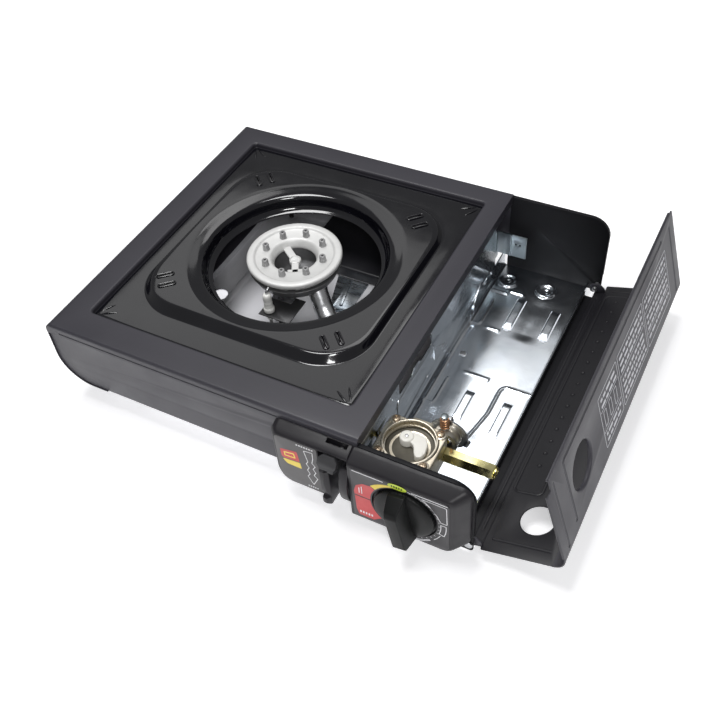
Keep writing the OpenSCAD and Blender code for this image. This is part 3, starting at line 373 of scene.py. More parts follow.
def rr(x0, y0, x1, y1, r, seg=6):
    r = r if hasattr(r, "__len__") else (r,) * 4
    return fil([(x0, y0, r[0]), (x1, y0, r[1]), (x1, y1, r[2]), (x0, y1, r[3])], seg)


def circ(cx, cy, r, n=48, ry=None):
    a = np.arange(n) * 2 * PI / n
    return np.stack([cx + r * np.cos(a), cy + (ry or r) * np.sin(a)], 1)


PLANES = {"xy": (0, 1, 2), "xz": (0, 2, 1), "yz": (2, 0, 1)}


def plate(outer, holes=(), w0=0.0, w1=1.0, b=0.3, seg=2, plane="xy", bh=None):
    """A sheet or block: outline extruded from w0 to w1, with edges rounded by b, which may differ along the outline."""
    loops = [ccw(outer)] + [ccw(h, False) for h in holes]
    if np.ndim(b) and area2(outer) <= 0:
        b = np.asarray(b)[::-1]
    bs = [b] + [float(np.min(b)) if bh is None else bh] * len(holes)
    rings = []
    for k in range(seg + 1):
        a = k / seg * PI / 2
        rings.append((0, 1 - math.cos(a), 1 - math.sin(a)))
    for k in range(seg, -1, -1):
        a = k / seg * PI / 2
        rings.append((1, 1 - math.cos(a), 1 - math.sin(a)))
    V, F, first, last = [], [], [], []
    for P, bb in zip(loops, bs):
        n = len(P)
        base = len(V)
        bb = np.asarray(bb, float) * np.ones(n)
        for side, rise, ins in rings:
            Q = inset(P, bb * ins)
            w = (w0 + bb * rise) if side == 0 else (w1 - bb * rise)
            V += [(Q[i, 0], Q[i, 1], w[i]) for i in range(n)]
        for k in range(len(rings) - 1):
            for i in range(n):
                j = (i + 1) % n
                F.append((base + k * n + i, base + k * n + j, base + (k + 1) * n + j, base + (k + 1) * n + i))
        first += list(range(base, base + n))
        last += list(range(base + (len(rings) - 1) * n, base + len(rings) * n))
    for idx in (first, last):
        it = iter(idx)
        polys, k = [], 0
        for P in loops:
            polys.append([Vector((V[idx[k + i]][0], V[idx[k + i]][1], 0)) for i in range(len(P))])
            k += len(P)
        for tri in tessellate_polygon(polys):
            F.append(tuple(idx[t] for t in tri))
    A = np.asarray(V, float)
    p = PLANES[plane]
    return A[:, p], F


def box(x0, y0, z0, x1, y1, z1, b=0.0, r=0.0):
    if b or r:
        return plate(rr(x0, y0, x1, y1, max(r, 0.01), 4), (), z0, z1, max(b, 0.01), 2)
    return plate([(x0, y0), (x1, y0), (x1, y1), (x0, y1)], (), z0, z1, 0.001, 1)


def lathe(profile, n=96, at=(0, 0, 0), axis="z", closed=True):
    """Revolves (radius, height) points. Closed makes a ring; open runs from the axis to the axis."""
    prof = [(max(0.0, r), h) for r, h in profile]
    V, F, rows = [], [], []
    for r, h in prof:
        if r < 1e-6:
            rows.append([len(V)] * n)
            V.append((0, 0, h))
        else:
            rows.append(list(range(len(V), len(V) + n)))
            V += [(r * math.cos(2 * PI * i / n), r * math.sin(2 * PI * i / n), h) for i in range(n)]
    pairs = list(zip(rows, rows[1:])) + ([(rows[-1], rows[0])] if closed else [])
    for a, b in pairs:
        for i in range(n):
            j = (i + 1) % n
            f = []
            for q in (a[i], a[j], b[j], b[i]):
                if q not in f:
                    f.append(q)
            if len(f) > 2:
                F.append(tuple(f))
    A = np.asarray(V, float)
    if axis == "y":
        A = A[:, (0, 2, 1)]
    elif axis == "x":
        A = A[:, (2, 0, 1)]
    return A + np.asarray(at, float), F


def cyl(at, r, h0, h1, axis="z", n=48, b=0.25, seg=2):
    """A round bar along an axis through at, from h0 to h1 on that axis, with rounded rims."""
    b = min(b, r * 0.45, abs(h1 - h0) * 0.45)
    pts = fil([(0, h0), (r, h0, b), (r, h1, b), (0, h1)], seg, closed=False)
    p = list(at)
    p["xyz".index(axis)] = 0
    return lathe([tuple(q) for q in pts], n, p, axis, closed=False)


def tube(path, r, n=12, caps=True, closed=False):
    path = np.asarray(path, float)
    m = len(path)
    r = np.asarray(r, float) * np.ones(m)
    if closed:
        d = np.roll(path, -1, 0) - np.roll(path, 1, 0)
    else:
        d = np.gradient(path, axis=0)
    d /= np.linalg.norm(d, axis=1, keepdims=True)
    u = np.cross(d[0], (0, 0, 1) if abs(d[0][2]) < 0.9 else (1, 0, 0))
    V = []
    for i in range(m):
        u = u - d[i] * (u @ d[i])
        u /= np.linalg.norm(u)
        v = np.cross(d[i], u)
        for k in range(n):
            a = 2 * PI * k / n
            V.append(path[i] + r[i] * (math.cos(a) * u + math.sin(a) * v))
    F = []
    for i in range(m if closed else m - 1):
        i2 = (i + 1) % m
        for k in range(n):
            k2 = (k + 1) % n
            F.append((i * n + k, i * n + k2, i2 * n + k2, i2 * n + k))
    if caps and not closed:
        F += [tuple(range(n)), tuple((m - 1) * n + k for k in range(n - 1, -1, -1))]
    return V, F


def smooth_path(pts, n=8):
    """Catmull-Rom through the points."""
    P = np.asarray(pts, float)
    P = np.vstack([2 * P[0] - P[1], P, 2 * P[-1] - P[-2]])
    out = []
    for i in range(1, len(P) - 2):
        for k in range(n):
            t = k / n
            a, b, c, d = P[i - 1:i + 3]
            out.append(0.5 * (2 * b + (c - a) * t + (2 * a - 5 * b + 4 * c - d) * t * t + (3 * b - a - 3 * c + d) * t ** 3))
    out.append(P[-2])
    return np.array(out)


def thick(G, t, wrap=False):
    """A sheet: grid of points G[row, column], given a thickness t against its normal."""
    G = np.asarray(G, float)
    R, C, _ = G.shape
    du = np.gradient(G, axis=0)
    if wrap:
        dv = (np.roll(G, -1, 1) - np.roll(G, 1, 1)) / 2
    else:
        dv = np.gradient(G, axis=1)
    n = np.cross(du, dv)
    n /= np.maximum(np.linalg.norm(n, axis=2, keepdims=True), 1e-12)
    B = G - n * t
    V = np.vstack([G.reshape(-1, 3), B.reshape(-1, 3)])
    F, o = [], R * C
    cols = range(C if wrap else C - 1)
    for i in range(R - 1):
        for j in cols:
            k = (j + 1) % C
            a, b, c, d = i * C + j, i * C + k, (i + 1) * C + k, (i + 1) * C + j
            F.append((a, b, c, d))
            F.append((o + a, o + d, o + c, o + b))
    for j in cols:
        k = (j + 1) % C
        for i, s in ((0, 1), (R - 1, -1)):
            a, b = i * C + j, i * C + k
            F.append((a, o + a, o + b, b)[::s])
    if not wrap:
        for i in range(R - 1):
            for j, s in ((0, -1), (C - 1, 1)):
                a, b = i * C + j, (i + 1) * C + j
                F.append((a, o + a, o + b, b)[::s])
    return V, F


def soften(node, width=0.00025, mat=None, angle=30):
    """A carried-over CAD node: its own shape, with its edges rounded by a modifier, and a material."""
    o = NODES[node]
    o.data.materials.clear()
    o.data.materials.append(mat)
    if width:
        d = o.modifiers.new("flat", "DECIMATE")
        d.decimate_type, d.angle_limit = "DISSOLVE", math.radians(0.6)
        m = o.modifiers.new("round", "BEVEL")
        m.width, m.segments, m.limit_method, m.angle_limit = width, 2, "ANGLE", math.radians(angle)
        m.use_clamp_overlap = True
    o.data.polygons.foreach_set("use_smooth", [True] * len(o.data.polygons))
    o.data.set_sharp_from_angle(angle=math.radians(32))
    return o


# ---------------------------------------------------------------- carried-over nodes
CARRIED = {
    "rear_crossmember": black, "feet": rubber, "heat_plate": galv, "burner_bracket": zinc, "gas_jet": brass, "electrode": zinc,
    "electrode_insulator": ceramic, "electrode_bracket": zinc, "ignition_lead": sleeve, "piezo_body": white_pl, "piezo_plunger": white_pl,
    "diaphragm": rubber, "diaphragm_cover": diecast, "rocker_pin": zinc, "spring_post": zinc, "cutoff_spring": copper,
    "locating_flange": zinc, "inlet_seal": rubber, "inlet_nozzle": brass, "relief_cylinder": brass, "regulator_screws": diecast,
    "valve_seal": rubber, "valve_shaft": diecast, "knob_cam": white_pl, "lever_bracket": zinc, "lever_pin": zinc, "crank_pin": zinc,
    "clamp_slide": galv, "slide_rivets": zinc, "cover_hinge_pins": zinc, "casing_screws": zinc, "regulator_body": diecast,
    "regulator_rocker": white_pl, "top_casing": powder, "front_skirt": powder, "rear_skirt": powder, "bottom_pan": galv_pan,
    # burner_base takes the dark aluminium: painted shade under the head's rim
    "cartridge_tray": galv, "bay_sill": black, "front_end_plate": black, "rear_end_wall": black, "burner_head": alu_head, "burner_base": alu_base_painted_shade,
    "venturi_tube": zinc, "knob": plastic_knob, "control_panel": plastic, "dial_plate": face_plate, "label_plate": face_plate,
    "lever_guard": plastic, "lock_lever": plastic, "cover": powder_lid, "pan_support": enamel, "pan_arms": enamel,
}
for _n, _m in CARRIED.items():
    NODES[_n].data.materials.clear()
    NODES[_n].data.materials.append(_m)


def refine(node, width=0.3, mat=None, angle=28, name=None, flat=1.0):
    """Replaces a node by a copy of its mesh with the triangles of flat faces merged and the edges rounded."""
    src = NODES[node]
    me = src.data.copy()
    me.materials.clear()
    me.materials.append(mat or CARRIED[node])
    o = bpy.data.objects.new(name or node + "_fine", me)
    o.matrix_world = src.matrix_world
    scene.collection.objects.link(o)
    bm = bmesh.new()
    bm.from_mesh(me)
    bmesh.ops.remove_doubles(bm, verts=bm.verts, dist=1e-6)
    bmesh.ops.dissolve_limit(bm, angle_limit=math.radians(flat), verts=bm.verts, edges=bm.edges)
    bm.to_mesh(me)
    bm.free()
    m = o.modifiers.new("round", "BEVEL")
    m.width, m.segments, m.limit_method, m.angle_limit = width / 1000, 2, "ANGLE", math.radians(angle)
    m.use_clamp_overlap = True
    m.harden_normals = False
    apply(o, 34)
    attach(o, BODY_OF[node])
    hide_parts(node)
    return o


BODY_OF = {}
for _b, _list in frame["record"]["behaviour"]["bodies"].items():
    for _n in _list:
        BODY_OF[_n] = _b


# ---------------------------------------------------------------- casing
RX0, RY0, RX1, RY1 = 24.5, 24.5, 241.0, 254.5


def vary(P, f):
    return np.array([f(p) for p in P])


def casing():
    P = fil([(0, 20, 26), (264, 20), (264, 78), (0, 78, 6)], 14)
    b = vary(P, lambda p: 0.4 + 2.6 * min(1, max(0, (p[0] - 1) / 6)) * (p[1] > 60))
    Pc = ccw(P)
    if area2(P) <= 0:
        b = b[::-1]
    V, F = plate(Pc, (), 0, 275, b, 5, "xz")
    o = link("casing_shell", V, F, powder, rep=("top_casing",), slot="casing_paint")
    roll = [(26 - (26 - T) * math.cos(k / 14 * PI / 2), 46 - (26 - T) * math.sin(k / 14 * PI / 2)) for k in range(15)]
    A = plate(np.array([(T, 69)] + roll + [(40, 20 + T), (40, 10), (266, 10), (266, 69)]), (), -5, 280, 0.001, 1, "xz")
    B = plate(fil([(T, 60), (T, 78 - T, 6 - T), (258 - T, 78 - T), (258 - T, 60)], 10), (), T, 275 - T, 2.2, 4, "xz")
    C = plate(rr(RX0 - 2, RY0 - 2, RX1 + 2, RY1 + 2, 5, 8), (), 60, 90, 0.001, 1)
    D = box(258, -10, 0, 280, 290, 100)
    E1 = tube([(12, -0.32, 71.7), (262, -0.32, 71.7)], 0.85, 10)
    E2 = tube([(12, 275.32, 71.7), (262, 275.32, 71.7)], 0.85, 10)
    boolean(o, [A, B, C, D, E1, E2], angle=32, own=True)
    rows = []
    for k in range(7):
        a = k / 6 * PI / 2
        rows.append((2 * (1 - math.sin(a)), 76 + 2 * math.cos(a)))
    for k in range(7):
        a = k / 6 * PI / 2
        rows.append((-1.2 * (1 - math.cos(a)), 74.4 - 1.2 * math.sin(a)))
    rows += [(-5, 73.2), (-8.7, 73.2), (-9, 73.0)]
    G = []
    for d, z in rows:
        L = rr(RX0 - d, RY0 - d, RX1 + d, RY1 + d, max(3 + d, 1.2 if d > -4 else 6), 8)[::-1]
        G.append([(x, y, z) for x, y in L])
    V, F = thick(np.array(G), T, wrap=True)
    link("casing_recess", V, F, powder, rep=("top_casing",), angle=50, slot="casing_paint")
    # front skirt with the slot for the lever, and its hemmed lower edge, both in a lighter copy of the powder coat:
    # painted sheen of the front face
    P = fil([(0.85, 20.82, 25), (241.5, 20.82, 0.6), (241.5, 58, 1.2), (248.7, 58, 1.2), (248.7, 20.82, 0.6), (257.2, 20.82), (257.2, 74.7),
             (0.85, 74.7, 5)], 10)
    V, F = plate(P, [circ(214, 40, 1.6, 20), circ(214, 62, 1.6, 20)], 0.85, 1.65, 0.3, 2, "xz")
    link("front_skirt_sheet", V, F, powder_painted_sheen, rep=("front_skirt",), slot="casing_paint")
    path = [(26, 1.95, 21.9), (60, 1.95, 21.9), (200, 1.95, 21.9), (241, 1.95, 21.9)]
    V, F = tube(path, 0.75, 10)
    link("front_skirt_hem", V, F, powder_painted_sheen, rep=("front_skirt",), slot="casing_paint")
    P = fil([(0.85, 20.82, 25), (257.2, 20.82), (257.2, 74.7), (0.85, 74.7, 5)], 10)
    holes = [rr(64 + i * 20, 42, 76 + i * 20, 46, 1.95, 5) for i in range(7)] + [circ(20, 60, 1.65, 20), circ(238, 60, 1.65, 20)]
    V, F = plate(P, holes, 273.35, 274.15, 0.3, 2, "xz")
    link("rear_skirt_sheet", V, F, powder, rep=("rear_skirt",), slot="casing_paint")


T = 0.8
# lighter copy of the casing's powder coat for the front skirt: painted sheen, the light its front face catches
powder_painted_sheen = material("powder_coat_painted_sheen", (0.040, 0.0385, 0.0475), 0.42, tint=(0.049, 0.047, 0.058), tint_scale=7, tint_amount=0.8,
                        rough_to=0.52, rough_scale=30, bump=0.000012, bump_scale=1500, edge=(0.17, 0.17, 0.18), edge_amount=0.35)
casing()


# ---------------------------------------------------------------- pan support: pressed and enamelled
HC = np.array([132.0, 140.0])


def ray_r(loop, angs):
    """Distance from the hob's centre to a convex outline along each direction."""
    P = ccw(loop) - HC
    E = np.roll(P, -1, 0) - P
    out = []
    for a in angs:
        d = (math.cos(a), math.sin(a))
        den = d[0] * E[:, 1] - d[1] * E[:, 0]
        den = np.where(np.abs(den) < 1e-12, 1e-12, den)
        r = (P[:, 0] * E[:, 1] - P[:, 1] * E[:, 0]) / den
        s = (P[:, 0] * d[1] - P[:, 1] * d[0]) / den
        ok = (r > 0) & (s >= -1e-6) & (s <= 1 + 1e-6)
        out.append(r[ok].min())
    return np.array(out)


ARM_A = (45, 135, 221.5, 315)


def pan():
    out = rr(RX0 + 0.5, RY0 + 0.5, RX1 - 0.5, RY1 - 0.5, 2.5, 6)
    foot = rr(37, 46.5, 227.5, 233.5, 40, 14)
    crest = rr(42, 53.5, 224.5, 226.5, 35, 14)
    angs = set(np.arange(0, 2 * PI, PI / 150).round(6))
    for L in (out,):
        for p in L:
            angs.add(round(math.atan2(p[1] - HC[1], p[0] - HC[0]) % (2 * PI), 6))
    angs = np.array(sorted(angs))
    keep = [0]
    for i in range(1, len(angs)):
        if angs[i] - angs[keep[-1]] > 0.0012:
            keep.append(i)
    angs = angs[keep]
    ro, rf, rc = ray_r(out, angs), ray_r(foot, angs), ray_r(crest, angs)
    one = np.ones(len(angs))
    rows = [(ro - 0.05, 73.35 * one), (ro, 73.6 * one), (ro - 0.12, 73.86 * one), (ro - 0.4, 74.0 * one)]
    for u in (0.12, 0.3, 0.5, 0.7, 0.88):
        rows.append((ro * (1 - u) + rf * u, (74.0 + 0.10 * math.sin(PI * u)) * one))
    for u, s in ((-0.12, 0.0), (-0.02, 0.008), (0.07, 0.05), (0.16, 0.125), (0.28, 0.25), (0.45, 0.44), (0.62, 0.63), (0.76, 0.79), (0.87, 0.905),
                 (0.96, 0.968), (1.06, 0.995)):
        rows.append((rf + (rc - rf) * u, (74.0 + 5.6 * s) * one))
    ridge = 85.4
    end = np.maximum(rc - 1.2, ridge + 0.25)
    for u in (0.15, 0.4, 0.7, 0.95):
        r = np.minimum(rc - 0.6, end * (1 - u) + (ridge + 0.2) * u + (rc - 0.6 - end) * (1 - u))
        rows.append((np.maximum(r, ridge + 0.2 * (1 - u)), 79.6 * one))
    prof = [(85.0, 79.59), (84.0, 79.52), (83.0, 79.36), (82.0, 79.12), (80.5, 78.80), (78.5, 78.40), (76.5, 77.98), (75.0, 77.62), (74.0, 77.3),
            (73.2, 76.9), (72.6, 76.35), (72.1, 75.6), (71.7, 74.6), (71.3, 73.2), (70.8, 71.4), (70.2, 69.6), (69.5, 68.1), (68.6, 67.1),
            (67.6, 66.45), (66.6, 66.05), (65.9, 65.75), (65.5, 65.4)]
    for r, z in prof:
        rows.append((r * one, z * one))
    c, s = np.cos(angs), np.sin(angs)
    G = np.array([np.stack([HC[0] + r * c, HC[1] + r * s, z], 1) for r, z in rows])
    G = G[:, ::-1]
    V, F = thick(G, 0.75, wrap=True)
    o = link("pan_support_plate", V, F, enamel, body="pan_support", rep=("pan_support",), angle=55, slot="enamel")
    # long slots for the arms
    cut = []
    for a in ARM_A:
        m = Matrix.Translation((HC[0], HC[1], 0)) @ Matrix.Rotation(math.radians(a), 4, "Z")
        for sgn in (-1, 1):
            cut.append(mat4(plate(rr(92.2, sgn * 5.5 - 0.75, 106.8, sgn * 5.5 + 0.75, 0.6, 3), (), 77, 81, 0.01, 1), m))
    boolean(o, cut, angle=40)
    # pressed creases at the corners of the flange
    parts = []
    for (cx, cy), a in zip(((RX0, RY0), (RX1, RY0), (RX1, RY1), (RX0, RY1)), (45, 135, 225, 315)):
        for off in (-13, 13):
            d = np.array([math.cos(math.radians(a + off)), math.sin(math.radians(a + off))])
            p0, p1 = np.array([cx, cy]) + d * 6.0, np.array([cx, cy]) + d * 19.5
            pts = [(*(p0 + (p1 - p0) * u), 73.55 + 0.55 * math.sin(PI * u) ** 0.6) for u in np.linspace(0.0, 1.0, 12)]
            parts.append(tube(pts, [0.35 + 0.5 * math.sin(PI * u) ** 0.7 for u in np.linspace(0, 1, 12)], 10))
    group("pan_support_creases", parts, enamel, body="pan_support", rep=("pan_support",), slot="enamel", angle=60)


pan()


def arms():
    """Four channels that hang under the stored plate, with two long tabs each, crimped over its top."""
    webs, tabs, lips = [], [], []
    for a in ARM_A:
        m = Matrix.Translation((HC[0], HC[1], 0)) @ Matrix.Rotation(math.radians(a), 4, "Z")
        for sgn in (-1, 1):
            P = fil([(86.4, 78.7, 0.6), (85.6, 77, 0.8), (85.4, 74, 2), (90, 64.5, 2), (107, 64.5, 1.5), (108.4, 66, 1.2), (108.2, 77.8, 0.8), (107, 78.7)], 4)
            webs.append(mat4(plate(P, (), sgn * 5.5 - 0.6, sgn * 5.5 + 0.6, 0.3, 2, "xz"), m))
            webs.append(mat4(plate(rr(92.6, sgn * 5.5 - 0.6, 106.4, sgn * 5.5 + 0.6, 0.5, 3), (), 78, 80.0, 0.2, 2), m))
            # the crimped tab: a rolled rim round a sunk middle
            L = rr(92.9, sgn * 5.5 - 1.75, 106.1, sgn * 5.5 + 1.75, 1.72, 6)
            path = [(x, y, 79.85 + 0.25 * math.sin(PI * (x - 92.9) / 13.2)) for x, y in L]
            tabs.append(mat4(tube(path, 0.62, 10, closed=True), m))
            tabs.append(mat4(plate(inset(L, 0.4), (), 79.45, 80.0, 0.2, 2), m))
        webs.append(mat4(plate(rr(90, -6, 107, 6, 1, 3), (), 64.5, 65.7, 0.4, 2), m))
    group("pan_arm_channels", webs, enamel, body="pan_support", rep=("pan_arms",), slot="enamel")
    group("pan_arm_tabs", tabs, enamel, body="pan_support", rep=("pan_arms",), slot="enamel", angle=60)


arms()


# ---------------------------------------------------------------- bay cover, drawn closed and then opened
CO, SO = math.cos(math.radians(74)), math.sin(math.radians(74))


def opened(part):
    V, F = part
    V = np.asarray(V, float).copy()
    x, z = V[:, 0] - 336, V[:, 2] - 10
    V[:, 0], V[:, 2] = 336 + x * CO + z * SO, 10 - x * SO + z * CO
    return V, F


def line_path(pts, r=3, seg=5):
    return fil([(*p, r) for p in pts], seg, closed=False)


def groove(pts, z, r=2.1, sink=0.5, up=1, closed=False, plane="xy"):
    """A round cutter along a path that leaves a groove of the given depth in a face at height z."""
    P = pts if closed else line_path(pts)
    h = z + up * (r - sink)
    if plane == "xy":
        path = [(x, y, h) for x, y in P]
    else:
        path = [(h, y, zz) for y, zz in P]
    return tube(path, r, 12, closed=closed)


def cover():
    top = plate(fil([(262, 6.5, 1.5), (271, 6.5, 1), (271, 0.6, 1), (330.5, 0.6), (330.5, 274.4), (262, 274.4, 2.5)], 4),
                [circ(298, 51, 18.2, 72)], 76.2, 77.0, 0.22, 2, bh=0.001)
    o = group("cover_top", [opened(top)], powder_lid, body="cover", rep=("cover",), slot="casing_paint")
    cut = [groove([(268.5, 10.5), (329, 10.5)], 77, 2.4, 0.5), groove([(268.5, 243), (268.5, 27.5), (324, 27.5)], 77, 2.6, 0.55),
           groove([(270, 263), (330, 263)], 77, 2.4, 0.5)]
    boolean(o, [opened(c) for c in cut], angle=24)
    # the same pressings stand proud under the sheet
    ribs = [tube([(x, y, 76.15) for x, y in line_path(p)], 0.55, 8) for p in
            ([(268.5, 10.5), (329, 10.5)], [(268.5, 243), (268.5, 27.5), (324, 27.5)], [(270, 263), (330, 263)])]
    group("cover_ribs", [opened(r) for r in ribs], powder_lid, body="cover", rep=("cover",), slot="casing_paint")
    th = np.linspace(0, PI / 2, 14)
    G = np.array([[(330.5 + 10 * math.sin(a), y, 67 + 10 * math.cos(a)) for y in (0.6, 60, 137, 210, 274.4)] for a in th])
    fold = thick(G, 0.8)
    collar = lathe([(18.2, 77.0), (17.6, 76.92), (17.05, 76.65), (16.6, 76.15), (16.42, 75.4), (16.4, 74.3), (16.55, 74.0), (17.2, 74.0),
                    (17.35, 74.3), (17.4, 75.5), (17.7, 75.95), (18.2, 76.2)], 72, (298, 51, 0))
    hem = plate(rr(262, 74.7, 263.5, 76.3, 0.72, 5), (), 6.6, 270.4, 0.35, 2, "xz")
    hem_front = tube([(271.5, 1.1, 75.75), (329.5, 1.1, 75.75)], 0.5, 8)
    ears = [plate(fil([(331.4, 5.4, 4.5), (339.69, 5.4, 2.5), (339.69, 18, 0.8), (336.4, 18, 0.8), (331.4, 14.6, 4.4)], 7), [circ(336, 10, 2.06, 24)],
                  y, y + 1.2, 0.25, 2, "xz") for y in (3, 266)]
    group("cover_fold", [opened(p) for p in [fold, collar, hem, hem_front] + ears], powder_lid, body="cover", rep=("cover",), slot="casing_paint",
          angle=50)
    # side panel and its bead in the darker copy of the powder coat: painted shade
    P = fil([(0.6, 67), (274.4, 67), (274.4, 17, 1), (267.3, 17, 1), (267.3, 9, 1.5), (2.9, 9, 1.5), (2.9, 17, 1), (0.6, 17, 1)], 4)
    side = plate(P, [circ(32, 46, 12, 64)], 339.7, 340.5, 0.22, 2, "yz", bh=0.2)
    o = group("cover_side", [opened(side)], powder_painted_shade, body="cover", rep=("cover",), slot="casing_paint")
    ring = rr(52, 20.5, 262, 41, 4, 6)
    cut = [groove(ring, 339.7, 1.9, 0.42, -1, True, "yz"), groove([(10.5, 22), (10.5, 63)], 339.7, 2.0, 0.5, -1, False, "yz"),
           groove([(268, 24), (268, 60)], 339.7, 2.0, 0.45, -1, False, "yz"), groove([(16, 13), (258, 13)], 339.7, 1.7, 0.3, -1, False, "yz")]
    boolean(o, [opened(c) for c in cut], angle=24)
    cup = [(0, 0.42), (0.6, 0.40), (1.15, 0.30), (1.5, 0.14), (1.72, -0.1), (1.9, -0.5), (0, -0.5)]
    boolean(o, [opened(lathe(cup, 24, (339.7, 77 + 11.8 * i, 30.5), axis="x", closed=False)) for i in range(16)], angle=24)
    bead = tube([(339.9, y, z) for y, z in circ(32, 46, 12.15, 64)], 0.45, 8, closed=True)
    group("cover_side_bead", [opened(bead)], powder_painted_shade, body="cover", rep=("cover",), slot="casing_paint", angle=60)
    # plain printed frames and bars
    parts = []

    def frame_(x0, y0, x1, y1, w=0.55):
        L = rr(x0, y0, x1, y1, 1.5, 4)
        parts.append(plate(L, [inset(ccw(L), w)], 77.0, 77.05, 0.01, 1))

    frame_(279, 89, 324, 127)
    frame_(279, 129.5, 324, 187)
    frame_(279, 189.5, 324, 248)
    k = 7
    for y0, y1, rows in ((133, 184, (283, 288.4, 293.8, 302.4, 307.8, 313.2, 318.4)), (193, 245, (283, 288.4, 297.6, 303.0, 308.4, 316.2)),
                         (93, 124, (283, 288.4, 313.6, 318.6))):
        for x in rows:
            y = y0
            while y < y1 - 2:
                k = (k * 1103515245 + 12345) % 2147483648
                w = min(2.6 + 1.1 * ((k >> 16) % 6), y1 - y)
                parts.append(plate(rr(x, y, x + 2.3, y + w, 0.4, 3), (), 77.0, 77.04, 0.008, 1))
                y += w + 1.5
    for x, y0, y1 in ((298.6, 131, 185.6), (293.6, 191, 246.6), (312.6, 191, 246.6), (292.6, 90.4, 125.6), (311, 90.4, 125.6)):
        parts.append(plate(fil([(x - 0.25, y0), (x + 0.25, y0), (x + 0.25, y1), (x - 0.25, y1)], 1), (), 77.0, 77.04, 0.008, 1))
    for i in range(3):
        parts.append(plate(rr(295, 94 + i * 10.5, 308.5, 99.5 + i * 10.5, 1, 3), [rr(295.6, 94.6 + i * 10.5, 307.9, 98.9 + i * 10.5, 0.5, 3)], 77.0, 77.04, 0.008, 1))
    group("cover_print", [opened(p) for p in parts], ink_grey, body="cover", rep=("cover",), slot="print_plate")


# darker copy of the powder coat for the opened cover's side panel: painted shade
powder_painted_shade = material("powder_coat_painted_shade", (0.013, 0.0125, 0.0155), 0.40, spec=0.3, tint=(0.019, 0.0185, 0.022), tint_scale=10, tint_amount=0.8,
                        rough_to=0.46, rough_scale=30, bump=0.000012, bump_scale=1500, edge=(0.035, 0.035, 0.04), edge_amount=0.3)
cover()


# ---------------------------------------------------------------- cartridge bay: tray and end walls
def field(xs, ys, Z, keep, t):
    """A pressed sheet: heights Z on the grid xs, ys, with the cells that are not kept cut away."""
    nx, ny = len(xs), len(ys)
    X, Y = np.meshgrid(xs, ys, indexing="ij")
    top = np.stack([X, Y, Z], 2).reshape(-1, 3)
    V = np.vstack([top, top - (0, 0, t)])
    o, F = nx * ny, []

    def kp(i, j):
        return 0 <= i < nx - 1 and 0 <= j < ny - 1 and keep[i, j]

    for i in range(nx - 1):
        for j in range(ny - 1):
            if not keep[i, j]:
                continue
            a, b, c, d = i * ny + j, (i + 1) * ny + j, (i + 1) * ny + j + 1, i * ny + j + 1
            F.append((a, b, c, d))
            F.append((o + a, o + d, o + c, o + b))
            if not kp(i, j - 1):
                F.append((a, o + a, o + b, b))
            if not kp(i + 1, j):
                F.append((b, o + b, o + c, c))
            if not kp(i, j + 1):
                F.append((c, o + c, o + d, d))
            if not kp(i - 1, j):
                F.append((d, o + d, o + a, a))
    used = sorted({k for f in F for k in f})
    idx = {k: n for n, k in enumerate(used)}
    return V[used], [tuple(idx[k] for k in f) for f in F]


def sstep(x):
    x = np.clip(x, 0, 1)
    return x * x * (3 - 2 * x)


def seg_dist(X, Y, pts):
    d = np.full(X.shape, 1e9)
    for (x0, y0), (x1, y1) in zip(pts[:-1], pts[1:]):
        ex, ey = x1 - x0, y1 - y0
        u = np.clip(((X - x0) * ex + (Y - y0) * ey) / max(ex * ex + ey * ey, 1e-9), 0, 1)
        d = np.minimum(d, np.hypot(X - x0 - u * ex, Y - y0 - u * ey))
    return d


TABS = [(285, 199, 236), (285, 96, 127), (315.2, 199, 233), (315.2, 92, 127)]


